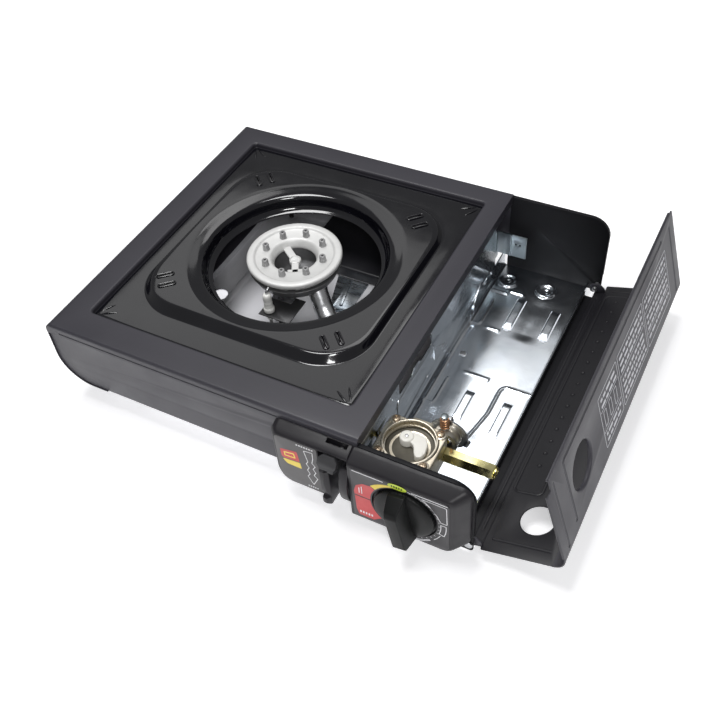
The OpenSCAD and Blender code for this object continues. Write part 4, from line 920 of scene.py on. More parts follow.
def tray():
    xs = set(np.arange(254.6, 329.01, 1.0).round(3)) | {329.0}
    ys = set(np.arange(2, 272.01, 1.25).round(3)) | {272.0}
    slots = []
    for x, y0, y1 in TABS:
        slots += [(x - 4.0, y0, x - 3.4, y1), (x + 3.4, y0, x + 4.0, y1)]
        slots.append((x - 2, y1 - 0.2, x + 2, y1 + 1.4) if y0 < 150 else (x - 2, y0 - 1.6, x + 2, y0 + 0.2))
    slots += [(309, 118.5, 313.2, 120.5), (261.5, 74, 266.5, 78), (261.5, 158, 266.5, 162)]
    for a, b, c, d in slots:
        xs |= {a, c}
        ys |= {b, d}
    for x, y0, y1 in TABS:
        xs |= {x - 3.3, x + 3.3, x - 2.2, x + 2.2}
    for cx in (266, 299):
        xs |= set((cx + np.arange(-9.5, 9.6, 0.6)).round(3))
    ys |= set((253 + np.arange(-9.5, 9.6, 0.6)).round(3))

    def thin(v, tol=0.12):
        v, out = sorted(v), []
        for q in v:
            if not out or q - out[-1] > tol:
                out.append(q)
            elif any(abs(q - s) < 1e-6 for sl in slots for s in sl):
                out[-1] = q
        return np.array(out)

    xs, ys = thin(xs), thin(ys)
    X, Y = np.meshgrid(xs, ys, indexing="ij")
    Z = np.full(X.shape, 3.8)
    u = np.clip((257.4 - X) / 2.0, 0, 1)
    Z += 2.0 * (1 - np.sqrt(1 - u * u * 0.999))
    u = np.clip((X - 326.6) / 1.8, 0, 1)
    Z += 1.5 * (1 - np.sqrt(1 - u * u * 0.999))
    for cx in (266, 299):
        r = np.hypot(X - cx, Y - 253)
        Z += 1.5 * sstep(1.25 - np.abs(r - 7.0) / 2.0) - 0.5 * sstep(1.6 - r / 1.8)
    for x, y0, y1 in TABS:
        w = sstep((3.75 - np.abs(X - x)) / 0.5)
        l = sstep((Y - y0) / 5) * sstep((y1 - Y) / 5)
        Z += 1.6 * w * l
    lines = [[(257.5, 236.9), (271, 236.9)], [(272, 142.7), (292, 142.7)],
             fil([(327, 140.7), (304.3, 140.7, 5), (304.3, 112, 30), (299, 84)], 6, closed=False),
             fil([(256.4, 195.6), (263.1, 195.6, 3), (263.1, 226)], 5, closed=False), fil([(256.5, 104), (263, 104, 3), (263, 132)], 5, closed=False),
             [(270, 194.5), (280, 194.5)], [(272.5, 240.5), (284, 240.5)]]
    for L in lines:
        Z += 0.85 * np.exp(-(seg_dist(X, Y, [tuple(p) for p in L]) / 0.9) ** 2)
    # a shallow trough beside the tabs, where the cartridge lies
    Z -= 0.7 * np.exp(-((X - 300) / 7.5) ** 2) * sstep((Y - 190) / 10) * sstep((243 - Y) / 10)
    Z -= 0.6 * np.exp(-((X - 299) / 9) ** 2) * sstep((Y - 80) / 14) * sstep((146 - Y) / 14)
    Z += 0.07 * np.sin(X / 11.0 + 0.6) * np.sin(Y / 23.0 + 0.9) + 0.05 * np.sin(X / 6.3 + Y / 17.0)
    keep = np.ones((len(xs) - 1, len(ys) - 1), bool)
    mx, my = (xs[:-1] + xs[1:]) / 2, (ys[:-1] + ys[1:]) / 2
    for a, b, c, d in slots:
        keep[np.ix_((mx > a) & (mx < c), (my > b) & (my < d))] = False
    V, F = field(xs, ys, Z, keep, 0.8)
    link("tray_floor", V, F, galv_tray, rep=("cartridge_tray",), angle=50, slot="galvanised")
    P = fil([(2, 4.6), (272, 4.6), (272, 21, 0.5), (247, 21, 2), (247, 68, 1.5), (272, 68), (272, 70, 0.3), (2, 70, 0.3)], 4)
    holes = [fil([(66, 50, 3), (86, 50, 2), (90, 54, 2), (98, 54, 2), (102, 50, 2), (120, 50, 3), (120, 68, 1.5), (66, 68, 1.5)], 4), circ(36.5, 37, 7, 40),
             circ(13, 8, 2.4, 24), rr(11, 42.5, 33, 51, 1.2, 4), circ(112, 23, 1.5, 16), circ(222, 23, 1.5, 16)]
    wall = plate(P, holes, 254.6, 255.4, 0.2, 2, "yz")
    fl = plate(rr(254.6, 2, 257.2, 272, 0.4, 3), (), 69.2, 70.0, 0.2, 2)
    lip = plate(rr(2, 4.4, 272, 9, 1, 3), (), 328.2, 329.0, 0.3, 2, "yz")
    sill = fil([(329.05, 9.2, 0.3), (329.05, 3.8, 0.4), (336.2, 3.8, 0.3), (336.2, 4.6, 0.35), (330.4, 4.6, 0.8), (329.85, 5.2, 0.5), (329.85, 9.2, 0.3)], 4)
    group("bay_sill_rail", [plate(sill, (), 4.6, 261.0, 0.25, 2, "xz")], black_gloss, rep=("bay_sill",), slot="black_paint", angle=40)
    ridges = []
    for L in (fil([(202, 5.0), (202, 18, 4), (216, 30)], 6, closed=False), fil([(196, 5.0), (196, 12, 4), (188, 17)], 6, closed=False),
              [(150, 9.5), (240, 9.5)], fil([(62, 30), (62, 47, 5), (124, 47, 5), (124, 30)], 6, closed=False)):
        ridges.append(tube([(255.35, y, z) for y, z in L], 0.65, 8))
    feet_ = [cyl((264, y, 0), 2.6, 4.0, 4.9, "z", 24, 0.4) for y in (76, 160)] + [cyl((318, 24, 0), 3.0, 3.9, 5.0, "z", 24, 0.5)]
    group("tray_walls", [wall, fl, lip] + ridges, galv_tray, rep=("cartridge_tray",), slot="galvanised", angle=45)
    group("tray_rivets", feet_[:2] + feet_[2:], zinc, rep=("cartridge_tray",), slot="plated_steel")


black_gloss = material("black_paint_gloss", (0.0045, 0.0045, 0.006), 0.45, spec=0.16, tint=(0.007, 0.007, 0.009), tint_scale=14, rough_to=0.55,
                       bump=0.000006, bump_scale=1300, edge=(0.05, 0.05, 0.055), edge_amount=0.3)
galv_tray = material("galvanised_tray", (0.74, 0.79, 0.85), 0.15, metal=1.0, tint=(0.84, 0.88, 0.92), tint_scale=30, tint_amount=0.9,
                     rough_to=0.24, rough_scale=70, bump=0.000002, bump_scale=420, bump_detail=4, bump2=0.000022, bump2_scale=16)
tray()
refine("rear_end_wall", 0.45, black_gloss)
refine("front_end_plate", 0.45, black_gloss)
refine("clamp_slide", 0.35, galv_dark)


# ---------------------------------------------------------------- control panel
def loft(loops):
    """A closed body through outlines of equal count, each (points, y), with flat ends."""
    n = len(loops[0][0])
    V, F = [], []
    for P, y in loops:
        V += [(p[0], y, p[1]) for p in P]
    for k in range(len(loops) - 1):
        for i in range(n):
            j = (i + 1) % n
            F.append((k * n + i, k * n + j, (k + 1) * n + j, (k + 1) * n + i))
    for base in (0, (len(loops) - 1) * n):
        for tri in tessellate_polygon([[Vector((V[base + i][0], V[base + i][2], 0)) for i in range(n)]]):
            F.append(tuple(base + t for t in tri))
    return V, F


KX, KZ = 296.0, 38.0


def panel():
    L = []
    for y, x0, z0, x1, z1, r in ((0.0, 255.1, 10, 338, 71.5, 7), (-1.2, 255.1, 10, 338, 71.3, 7), (-2.6, 255.1, 10, 337.8, 70.8, 7), (-3.6, 255.1, 10, 337.0, 70.3, 7),
                                 (-10.2, 255.1, 10, 330.9, 67.8, 5.5), (-11.0, 255.3, 10.2, 329.9, 67.2, 5), (-11.6, 255.6, 10.6, 328.9, 66.4, 4.5),
                                 (-11.92, 256.0, 11.1, 328.0, 65.6, 4), (-12.0, 256.6, 11.8, 327.2, 64.9, 3.5)):
        L.append((rr(x0, z0, x1, z1, (0.9, 9 * (r / 7) + 0.5, r, 1.2), 8), y))
    o = group("panel_knob_block", [loft(L)], plastic, rep=("control_panel",), slot="black_plastic")
    well = lathe([(0, -13), (23.3, -13), (23.3, -11.2), (22.9, -10.6), (22.4, -10.4), (0, -10.4)], 96, (KX, 0, KZ), "y", closed=False)
    cut = [well, cyl((KX, 0, KZ), 4.4, -14, -5, "y", 32, 0.01), box(250, -14, 8, 255.8, 2, 64.9),
           plate(rr(261, 13.5, 324, 62, 4, 4), (), -8.6, 1, 0.01, 1, "xz"), cyl((336, 0, 10), 3.4, -1.7, 2, "y", 32, 0.01),
           box(250, 0, 68.95, 258.1, 3, 80)]
    well, rest = cut[0], cut[1:]
    hollow = rest.pop(2)
    for part in ([well], [box(250, -14, 60, 255.8, -6.6, 66.9)], rest, [hollow]):
        boolean(o, part, angle=36)
    boss = [lathe([(4.4, -10.4), (12, -10.4), (12, -0.2), (10, -0.2), (10, -8.0), (4.4, -8.0)], 48, (KX, 0, KZ), "y")]
    group("panel_boss", boss, plastic, rep=("control_panel",), slot="black_plastic")
    L = []
    for y, x0, z0, x1, z1, r in ((0.85, 196, 16.5, 255.1, 71.5, 5), (-0.8, 196, 16.5, 255.1, 71.2, 5), (-2.0, 196, 16.5, 255.1, 70.8, 5), (-5.6, 196, 16.5, 255.1, 69.6, 5),
                                 (-8.6, 198.2, 16.7, 255.1, 68.5, 4.5), (-9.4, 199.0, 17.2, 255.1, 68.0, 4.2), (-9.85, 199.7, 17.8, 255.1, 67.3, 4),
                                 (-10.0, 200.4, 18.4, 255.1, 66.7, 3.8)):
        L.append((rr(x0, z0, x1, z1, (13, 0.9, 0.9, r), 8), y))
    o = group("panel_lever_block", [loft(L)], plastic, rep=("control_panel",), slot="black_plastic")
    boolean(o, [box(233.6, -14, 60, 256.2, -6.6, 66.9)], angle=36)
    boolean(o, [plate(rr(203, 22, 231, 64, (9, 1, 1, 3), 5), (), -7.8, 1.5, 0.01, 1, "xz")], angle=36)
    cut = [box(233.6, -14, 8, 256.2, 2, 64.9), box(236.6, -4, 66, 252.2, -0.6, 75), box(190, 0, 68.95, 258.1, 3, 80),
           cyl((247.4, -2.2, 0), 0.8, 64, 67, "z", 20, 0.01),
           ]
    boolean(o, cut, angle=36)


panel()


def inks(name, parts, mat, body="stove_body", rep=("dial_plate",), y=None):
    group(name, parts, mat, body=body, rep=rep, slot="print_plate", angle=30)


def arc_band(r0, r1, a0, a1, n=28, cx=KX, cz=KZ, taper=None):
    A = np.radians(np.linspace(a0, a1, n))
    r1a = np.full(n, r1, float) if taper is None else r0 + (r1 - r0) * np.array([taper(u) for u in np.linspace(0, 1, n)])
    out = [(cx + r * math.cos(a), cz + r * math.sin(a)) for r, a in zip(r1a, A)]
    inn = [(cx + r0 * math.cos(a), cz + r0 * math.sin(a)) for a in A[::-1]]
    return np.array(out + inn)


def prints():
    P = rr(258.2, 12.4, 327.4, 65.0, (1, 5, 3, 1), 6)
    V, F = plate(P, [circ(KX, KZ, 23.3, 96)], -12.4, -11.9, 0.15, 2, "xz")
    link("dial_face", V, F, face_plate, rep=("dial_plate",), slot="print_plate")
    P = rr(200.8, 18.6, 233.0, 66.6, (10, 1, 1, 3), 8)
    V, F = plate(P, (), -10.4, -9.95, 0.15, 2, "xz")
    link("label_face", V, F, label_plate_mat, rep=("label_plate",), slot="print_plate")
    f, b = -12.47, -12.38

    def pl(P, holes=()):
        return plate(P, holes, f, b, 0.012, 1, "xz")

    def outline(P, w=0.55):
        P = ccw(P)
        return pl(P, [inset(P, w)])

    # red block left of the dial, split by fine lines
    A = np.radians(np.linspace(148, 180, 14))
    up = [(KX + 24.4 * math.cos(a), KZ + 24.4 * math.sin(a)) for a in A] + [(260.2, 38.0), (259.8, 41.5), (261.6, 48.2), (266.5, 52.4), (272.5, 53.2)]
    A = np.radians(np.linspace(182.5, 226, 16))
    lo = [(KX + 24.4 * math.cos(a), KZ + 24.4 * math.sin(a)) for a in A] + [(273.0, 15.2), (262.4, 15.2), (260.6, 21), (260.2, 36.6)]
    inks("dial_red", [pl(up), pl(lo)], ink_red)
    inks("dial_red_marks", [plate(P, (), -12.50, -12.44, 0.008, 1, "xz") for P in
                            [rr(263.0 + 2.1 * i, 18.2, 264.2 + 2.1 * i, 20.6, 0.2, 2) for i in range(5)] +
                            [rr(263.5, 41.0, 264.1, 47.0, 0.2, 2), rr(265.4, 41.0, 266.0, 49.0, 0.2, 2)]], ink_white)
    # yellow band that grows towards the flame setting
    inks("dial_yellow", [pl(arc_band(24.4, 28.6, 108, 146, taper=lambda u: 0.35 + 0.65 * u))], ink_yellow)
    # the oval mark above the dial
    inks("dial_oval", [plate(circ(291.7, 63.6, 6.6, 40, 2.5), (), -12.56, -12.36, 0.05, 2, "xz")], ink_lime)
    bars = [rr(287.6 + 1.7 * i, 62.7, 288.5 + 1.7 * i, 64.6, 0.15, 2) for i in range(5)]
    inks("dial_oval_marks", [plate(P, (), -12.60, -12.54, 0.008, 1, "xz") for P in bars], ink_black)
    # white lines
    W = [pl(rr(259.6, 63.2, 281.8, 63.95, 0.2, 2)), pl(rr(301.5, 63.2, 326.0, 63.95, 0.2, 2))]
    seg = fil([(308.5, 61.6), (325.6, 61.6, 1), (326.2, 43.0, 1), (321.4, 43.0, 1.2), (318.6, 49.0, 6), (313.6, 56.4, 4)], 4)
    W.append(outline(seg))
    W.append(outline(arc_band(25.4, 29.6, -19, 6, 10)))
    W.append(pl(arc_band(27.0, 27.5, -40, -22, 10)))
    W.append(outline(arc_band(26.0, 27.6, -75, -48, 12)))
    W.append(pl(arc_band(25.0, 25.5, 30, 84, 22)))
    for a in range(-70, 91, 10):
        A = math.radians(a)
        p0 = np.array([KX + 24.0 * math.cos(A), KZ + 24.0 * math.sin(A)])
        p1 = np.array([KX + 25.1 * math.cos(A), KZ + 25.1 * math.sin(A)])
        n = np.array([-math.sin(A), math.cos(A)]) * 0.16
        W.append(pl([p0 + n, p0 - n, p1 - n, p1 + n]))
    inks("dial_white", W, ink_white)
    # lever label: red and yellow block, arrow outline and plain bars
    f, b = -10.47, -10.38
    lp = dict(rep=("label_plate",))
    inks("label_red", [plate(fil([(204.2, 53.6, 0.8), (217.2, 56.2, 0.8), (218.4, 45.6, 0.8), (204.4, 44.4, 2)], 4), (), f, b, 0.012, 1, "xz")], ink_red, **lp)
    inks("label_red_mark", [plate(fil([(206.6, 51.8, 0.6), (214.8, 53.4, 0.6), (215.6, 48.0, 0.6), (206.8, 47.2, 0.6)], 3), [fil([(207.6, 50.8), (213.9, 52.1), (214.5, 49.0), (207.8, 48.4)], 1)],
                                  f - 0.03, f + 0.02, 0.008, 1, "xz")], ink_yellow, **lp)
    inks("label_yellow", [plate(fil([(204.6, 43.4, 0.8), (218.5, 44.8, 0.6), (219.2, 38.6, 0.8), (208.0, 38.8, 3)], 4), (), f, b, 0.012, 1, "xz")], ink_yellow, **lp)
    P = ccw(fil([(222.6, 61.0, 0.8), (229.8, 62.0, 0.8), (229.6, 55, 0.5), (228.4, 50, 0.5), (230.6, 47, 0.5), (228.6, 43.5, 0.5), (230.4, 40, 0.5), (228.6, 36.5, 0.5),
                 (231.2, 33.6, 0.5), (227.0, 24.5, 0.5), (223.0, 33.0, 0.5), (225.0, 36.5, 0.5), (223.4, 40.0, 0.5), (225.0, 43.5, 0.5), (223.2, 47.0, 0.5), (224.8, 50, 0.5)], 3))
    W = [plate(P, [inset(P, 0.55)], f, b, 0.012, 1, "xz")]
    W += [plate(rr(217.6 + 1.9 * i, 64.0, 218.8 + 1.9 * i, 65.2, 0.2, 2), (), f, b, 0.012, 1, "xz") for i in range(7)]
    W += [plate(rr(222.4 + 1.7 * i, 21.2, 223.4 + 1.7 * i, 22.4, 0.2, 2), (), f, b, 0.012, 1, "xz") for i in range(5)]
    inks("label_white", W, ink_white, **lp)


label_plate_mat = material("printed_label", (0.075, 0.072, 0.074), 0.34, tint=(0.088, 0.085, 0.087), tint_scale=20, tint_amount=0.8, rough_to=0.44,
                           rough_scale=70, bump=0.000006, bump_scale=1500)
prints()


# ---------------------------------------------------------------- knob and lever
def knob():
    FY = -12.0
    disc = lathe([(0, FY + 1.1), (20.6, FY + 1.1), (21.3, FY + 0.8), (21.5, FY + 0.2), (21.5, FY - 1.3), (21.3, FY - 2.0), (20.7, FY - 2.6), (19.6, FY - 3.2),
                  (17.6, FY - 3.9), (15, FY - 4.3), (9, FY - 4.45), (0, FY - 4.5)], 128, (KX, 0, KZ), "y", closed=False)
    o = group("knob_disc", [disc], plastic_knob, body="knob", rep=("knob",), slot="black_plastic", angle=40)
    # small grip flutes round the rim
    cut = []
    for i in range(40):
        a = 2 * PI * i / 40
        cut.append(cyl((KX + 21.75 * math.cos(a), 0, KZ + 21.75 * math.sin(a)), 0.55, FY - 6, FY + 0.4, "y", 10, 0.01))
    boolean(o, cut, angle=36)
    P = fil([(FY - 1, KZ + 20.8, 0.8), (FY - 4.6, KZ + 21.2, 1.0), (-26.5, KZ + 16.4, 2.6), (-28.5, KZ + 13, 4), (-28.5, KZ - 17.5, 2.2), (-26.9, KZ - 20.2, 2.0), (FY - 1, KZ - 21, 1.2)], 6)
    V, F = plate(P, (), KX - 6.5, KX + 6.5, 0.9, 4, "yz")
    V = np.asarray(V, float)
    d = np.maximum(0, -15 - V[:, 1])
    V[:, 0] = KX + (V[:, 0] - KX) * (6.5 - d * 0.149) / 6.5
    ca, sa = math.cos(math.radians(10)), math.sin(math.radians(10))
    x, z = V[:, 0] - KX, V[:, 2] - KZ
    V[:, 0], V[:, 2] = KX + x * ca - z * sa, KZ + x * sa + z * ca
    o = group("knob_grip", [(V, F)], plastic_knob, body="knob", rep=("knob",), slot="black_plastic", angle=30)
    return o


knob()
refine("lock_lever", 0.8, plastic_lever, angle=18)
refine("lever_guard", 0.55, plastic, angle=24)


# ---------------------------------------------------------------- burner
BX, BY = 131.0, 140.0


def rect_path(c, u, hw, hl, z0, z1, b, seg=2):
    """A bar seen from above: centre c, direction u, half width hw, half length hl."""
    u = np.array(u, float) / np.hypot(*u)
    n = np.array((-u[1], u[0]))
    c = np.array(c, float)
    P = [c - u * hl - n * hw, c + u * hl - n * hw, c + u * hl + n * hw, c - u * hl + n * hw]
    return plate(P, (), z0, z1, b, seg, "xy")


def burner():
    prof = [(16.4, 69.6), (16.2, 70.4), (16.5, 71.4), (17.2, 73.2), (18.0, 75.0), (18.7, 76.0), (19.6, 76.55), (21.0, 76.7), (29.6, 76.9), (30.4, 77.2), (30.9, 77.8),
            (31.4, 78.25), (32.2, 78.45), (35.4, 78.4), (36.2, 78.15), (36.8, 77.6), (37.0, 76.8), (37.0, 75.4), (36.7, 74.7), (36.0, 74.2), (33.6, 73.4), (31.2, 73.2),
            (31.0, 72.6), (31.0, 67.2), (30, 67.2), (30, 74.6), (29.4, 75), (20.8, 75), (20.2, 74.6), (17.6, 69.6)]
    o = group("burner_head_casting", [lathe(prof, 160, (BX, BY, 0))], alu_head, rep=("burner_head",), slot="burner_aluminium", angle=34)
    cut = []
    for i in range(8):
        a = math.radians(7 + 45 * i)
        cut.append(cyl((BX + 23.7 * math.cos(a), BY + 23.7 * math.sin(a), 0), 0.95, 70, 84, "z", 20, 0.01))
    for i in range(48):  # flame ports under the rim
        a = math.radians(i * 7.5)
        u = (math.cos(a), math.sin(a))
        cut.append(rect_path((BX + u[0] * 31, BY + u[1] * 31), u, 0.7, 2.0, 68.4, 72.4, 0.01, 1))
    boolean(o, cut, angle=34)
    head = []
    dirs = {"bar": math.radians(143.5), "foot": math.radians(-60)}
    for k, w in (("bar", 3.0), ("foot", 2.8)):
        u = (math.cos(dirs[k]), math.sin(dirs[k]))
        head.append(rect_path((BX + u[0] * 8.6, BY + u[1] * 8.6), u, w, 8.7, 69.6, 71.9, 0.7, 3))
    u = (math.cos(dirs["foot"]), math.sin(dirs["foot"]))
    head.append(rect_path((BX + u[0] * 13.9, BY + u[1] * 13.9), u, 6.0, 3.2, 69.7, 71.9, 0.7, 3))
    head.append(lathe([(0, 69.2), (4.6, 69.2), (4.7, 71.6), (4.4, 72.3), (3.9, 72.5), (3.5, 72.2), (3.2, 71.7), (0, 71.6)], 48, (BX, BY, 0), closed=False))
    group("burner_head_hub", head, alu_head, rep=("burner_head",), slot="burner_aluminium", angle=34)
    # posts in the darker copy of the head's aluminium: painted shade on their sides
    posts = []
    for i in range(8):
        a = math.radians(7 + 45 * i)
        posts.append(lathe([(0.95, 75.2), (2.85, 75.2), (2.8, 76.9), (2.6, 77.5), (2.4, 81.6), (2.05, 82.05), (1.15, 82.1), (0.95, 81.9)], 28, (BX + 23.7 * math.cos(a), BY + 23.7 * math.sin(a), 0)))
    group("burner_head_posts", posts, alu_painted_shade, rep=("burner_head",), slot="burner_aluminium", angle=34)
    holes = [lathe([(0.96, 74), (0.96, 81.2), (0, 81.2), (0, 74)], 16, (BX + 23.7 * math.cos(math.radians(7 + 45 * i)), BY + 23.7 * math.sin(math.radians(7 + 45 * i)), 0)) for i in range(8)]
    group("burner_port_shadow", holes, dark_hole, rep=("burner_head",), slot="burner_dark")
    # base cup, in the dark aluminium: painted shade under the head's rim
    prof = [(0, 51), (12.4, 51), (13.6, 51.2), (16, 53), (20, 54.4), (26.2, 56.8), (27.6, 57.6), (32.4, 62.6), (33.0, 63.6), (33.6, 68.2), (34.0, 68.8), (35.6, 69.2), (35.9, 69.7), (35.6, 70.2),
            (32.9, 70.2), (32.2, 69.6), (31.4, 63.8), (31.0, 63.0), (26.4, 58.4), (15.4, 54.4), (12.6, 52.4), (0, 52.4)]
    o = group("burner_base_cup", [lathe(prof, 128, (BX, BY, 0), closed=False)], alu_base_painted_shade, rep=("burner_base",), slot="burner_dark")
    a0, a1 = np.array((167, 119.5, 46.0)), np.array((155, 129.5, 59.0))
    boolean(o, [tube([a0, a0 + (a1 - a0) * 1.35], 7.5, 40)], angle=34)
    # square crimp lugs that hold head and base together, in the same dark aluminium: painted shade
    lugs = []
    for i in range(4):
        a = math.radians(25 + 90 * i)
        u = (math.cos(a), math.sin(a))
        lugs.append(rect_path((BX + u[0] * 34.4, BY + u[1] * 34.4), u, 3.0, 1.4, 69.4, 71.2, 0.3))
    group("burner_base_lugs", lugs, alu_base_painted_shade, rep=("burner_base",), slot="burner_dark")


def bezel(at, r0, r1, z, h, n=32):
    return lathe([(r0, z), (r1, z), (r1, z + h * 0.6), (r1 - h * 0.4, z + h), (r0 + h * 0.4, z + h), (r0, z + h * 0.6)], n, at)


def venturi():
    vt0, vt1, vt2 = (np.array(v, float) for v in ((244.5, 46.9, 37.3), (167, 119.5, 46), (155, 129.5, 59)))
    d = (vt0 - vt1) / np.linalg.norm(vt0 - vt1)
    e = (vt2 - vt1) / np.linalg.norm(vt2 - vt1)
    # a smooth bend where the tube turns up into the cup
    P = [vt0, vt0 - d * 0.6]
    R = [8.2, 9.0]
    for k, r in ((1.4, 9.0), (4.6, 9.0), (6.0, 8.6), (7.6, 7.7), (9.4, 7.5), (16, 7.5), (20, 7.2), (24, 7.5), (40, 7.5), (60, 7.5), (80, 7.5)):
        P.append(vt0 - d * k)
        R.append(r)
    s0, s1 = vt1 + d * 9, vt1 + e * 7
    for t in np.linspace(0, 1, 9):
        P.append((1 - t) ** 2 * s0 + 2 * t * (1 - t) * (vt1 + (d + e) * 0.35) + t * t * s1)
        R.append(7.5)
    P.append(vt2)
    R.append(7.5)
    o = group("venturi_tube_body", [tube(P, R, 40)], zinc, rep=("venturi_tube",), slot="plated_steel", angle=30)
    cut = tube([vt0 + d * 1.5, vt0 - d * 30], [6.3, 6.3], 32)
    side = tube([vt0 - d * 14 + np.array((0, 0, 4.5)), vt0 - d * 14 + np.array((0, 0, 13))], [3, 3], 24)
    boolean(o, [cut], angle=32)
    boolean(o, [side], angle=32)
    # seam ring where the tube was rolled
    rings = []
    for k in (27, 30):
        rings.append(tube([vt0 - d * (k + 0.5), vt0 - d * (k + 0.2), vt0 - d * k, vt0 - d * (k - 0.2), vt0 - d * (k - 0.5)], [7.45, 7.7, 7.75, 7.7, 7.45], 40))
    group("venturi_tube_beads", rings, zinc, rep=("venturi_tube",), slot="plated_steel")


def ignition():
    at = (128.5, 100.5, 0)
    prof = [(1.05, 44), (2.3, 44), (2.6, 44.3), (2.6, 50.6), (2.9, 51.0), (4.0, 51.7), (4.25, 52.1), (4.25, 54.8), (4.0, 55.3), (3.5, 55.8), (3.4, 56.3), (3.4, 58.2), (3.15, 58.6),
            (3.15, 59.2), (3.4, 59.6), (3.4, 61.2), (3.15, 61.6), (3.15, 62.2), (3.4, 62.6), (3.4, 66.6), (3.2, 67.6), (2.5, 68.7), (1.9, 69.0), (1.05, 69.0)]
    group("electrode_ceramic", [lathe(prof, 48, at)], ceramic, rep=("electrode_insulator",), slot="ceramic", angle=32)
    P = smooth_path([(128.5, 100.5, 42), (128.5, 100.5, 60), (128.5, 100.5, 69.0), (128.55, 100.8, 70.8), (128.8, 102.0, 72.3), (129.2, 103.6, 73.2)], 6)
    group("electrode_wire", [tube(P, 0.95, 14)], zinc, rep=("electrode",), slot="plated_steel")
    # the electrode bracket in the dark copy of the plated steel: painted shade
    o = refine("electrode_bracket", 0.28, bracket_painted_shade, angle=30)


def hob_inside():
    refine("rear_crossmember", 0.5, black, angle=30)
    refine("heat_plate", 0.25, galv_streak, angle=30)
    refine("burner_bracket", 0.3, zinc, angle=30)
    refine("bottom_pan", 0.28, galv_floor, angle=30)
    refine("feet", 0.5, rubber, angle=30)
    refine("gas_jet", 0.2, brass, angle=30)
    # pressed stiffening bead round the pan's floor, with fine steps
    G = []
    outer = fil([(58.5, 58.5, 13), (227.5, 58.5, 13), (227.5, 233.5, 13), (58.5, 233.5, 13)], 10)
    for d, z in ((0, 9.82), (0.5, 9.95), (0.9, 10.35), (1.3, 10.8), (2.0, 11.05), (3.4, 11.15), (4.8, 11.05), (5.8, 10.7), (6.6, 10.2), (7.4, 9.92), (8.4, 9.82)):
        G.append([(x, y, z) for x, y in inset(outer, d)] if d else [(x, y, z) for x, y in outer])
    V, F = [], []
    n = len(G[0])
    for k, ring in enumerate(G):
        V += ring
        if k:
            for i in range(n):
                j = (i + 1) % n
                F.append(((k - 1) * n + i, (k - 1) * n + j, k * n + j, k * n + i))
    lo = [(x, y, 9.4) for x, y, z in G[0]]
    li = [(x, y, 9.4) for x, y, z in G[-1]]
    b0 = len(V)
    V += lo + li
    last = (len(G) - 1) * n
    for i in range(n):
        j = (i + 1) % n
        F.append((b0 + i, b0 + j, j, i))
        F.append((last + i, last + j, b0 + n + j, b0 + n + i))
        F.append((b0 + n + i, b0 + n + j, b0 + j, b0 + i))
    link("pan_bead", V, F, galv_floor, rep=("bottom_pan",), slot="galvanised", angle=50)


galv_floor = material("galvanised_floor", (0.62, 0.62, 0.65), 0.36, metal=0.25, tint=(0.70, 0.70, 0.73), tint_scale=16, tint_amount=0.8, rough_to=0.38, rough_scale=90,
                      bump=0.000015, bump_scale=300, bump2=0.00012, bump2_scale=18)
galv_streak = material("galvanised_streaked", (0.42, 0.50, 0.58), 0.22, metal=1.0, tint=(0.80, 0.84, 0.88), tint_scale=22, tint_amount=1.0, rough_to=0.34, rough_scale=60,
                       stretch=(1.0, 6.0, 1.0), bump=0.00002, bump_scale=400)
# dark copy of the plated steel for the electrode bracket: painted shade of its shadow side
bracket_painted_shade = material("plated_steel_painted_shade", (0.050, 0.050, 0.052), 0.42, metal=0.4, tint=(0.075, 0.075, 0.078), tint_scale=40, rough_to=0.52, rough_scale=120, bump=0.00001, bump_scale=900)
burner()
venturi()
ignition()
hob_inside()


# ---------------------------------------------------------------- regulator
CX, CY = 279.0, 32.5
SCREWS = ((262.7, 46.0), (295.5, 46.0), (262.7, 17.5), (295.5, 17.5))
FL = 59.5


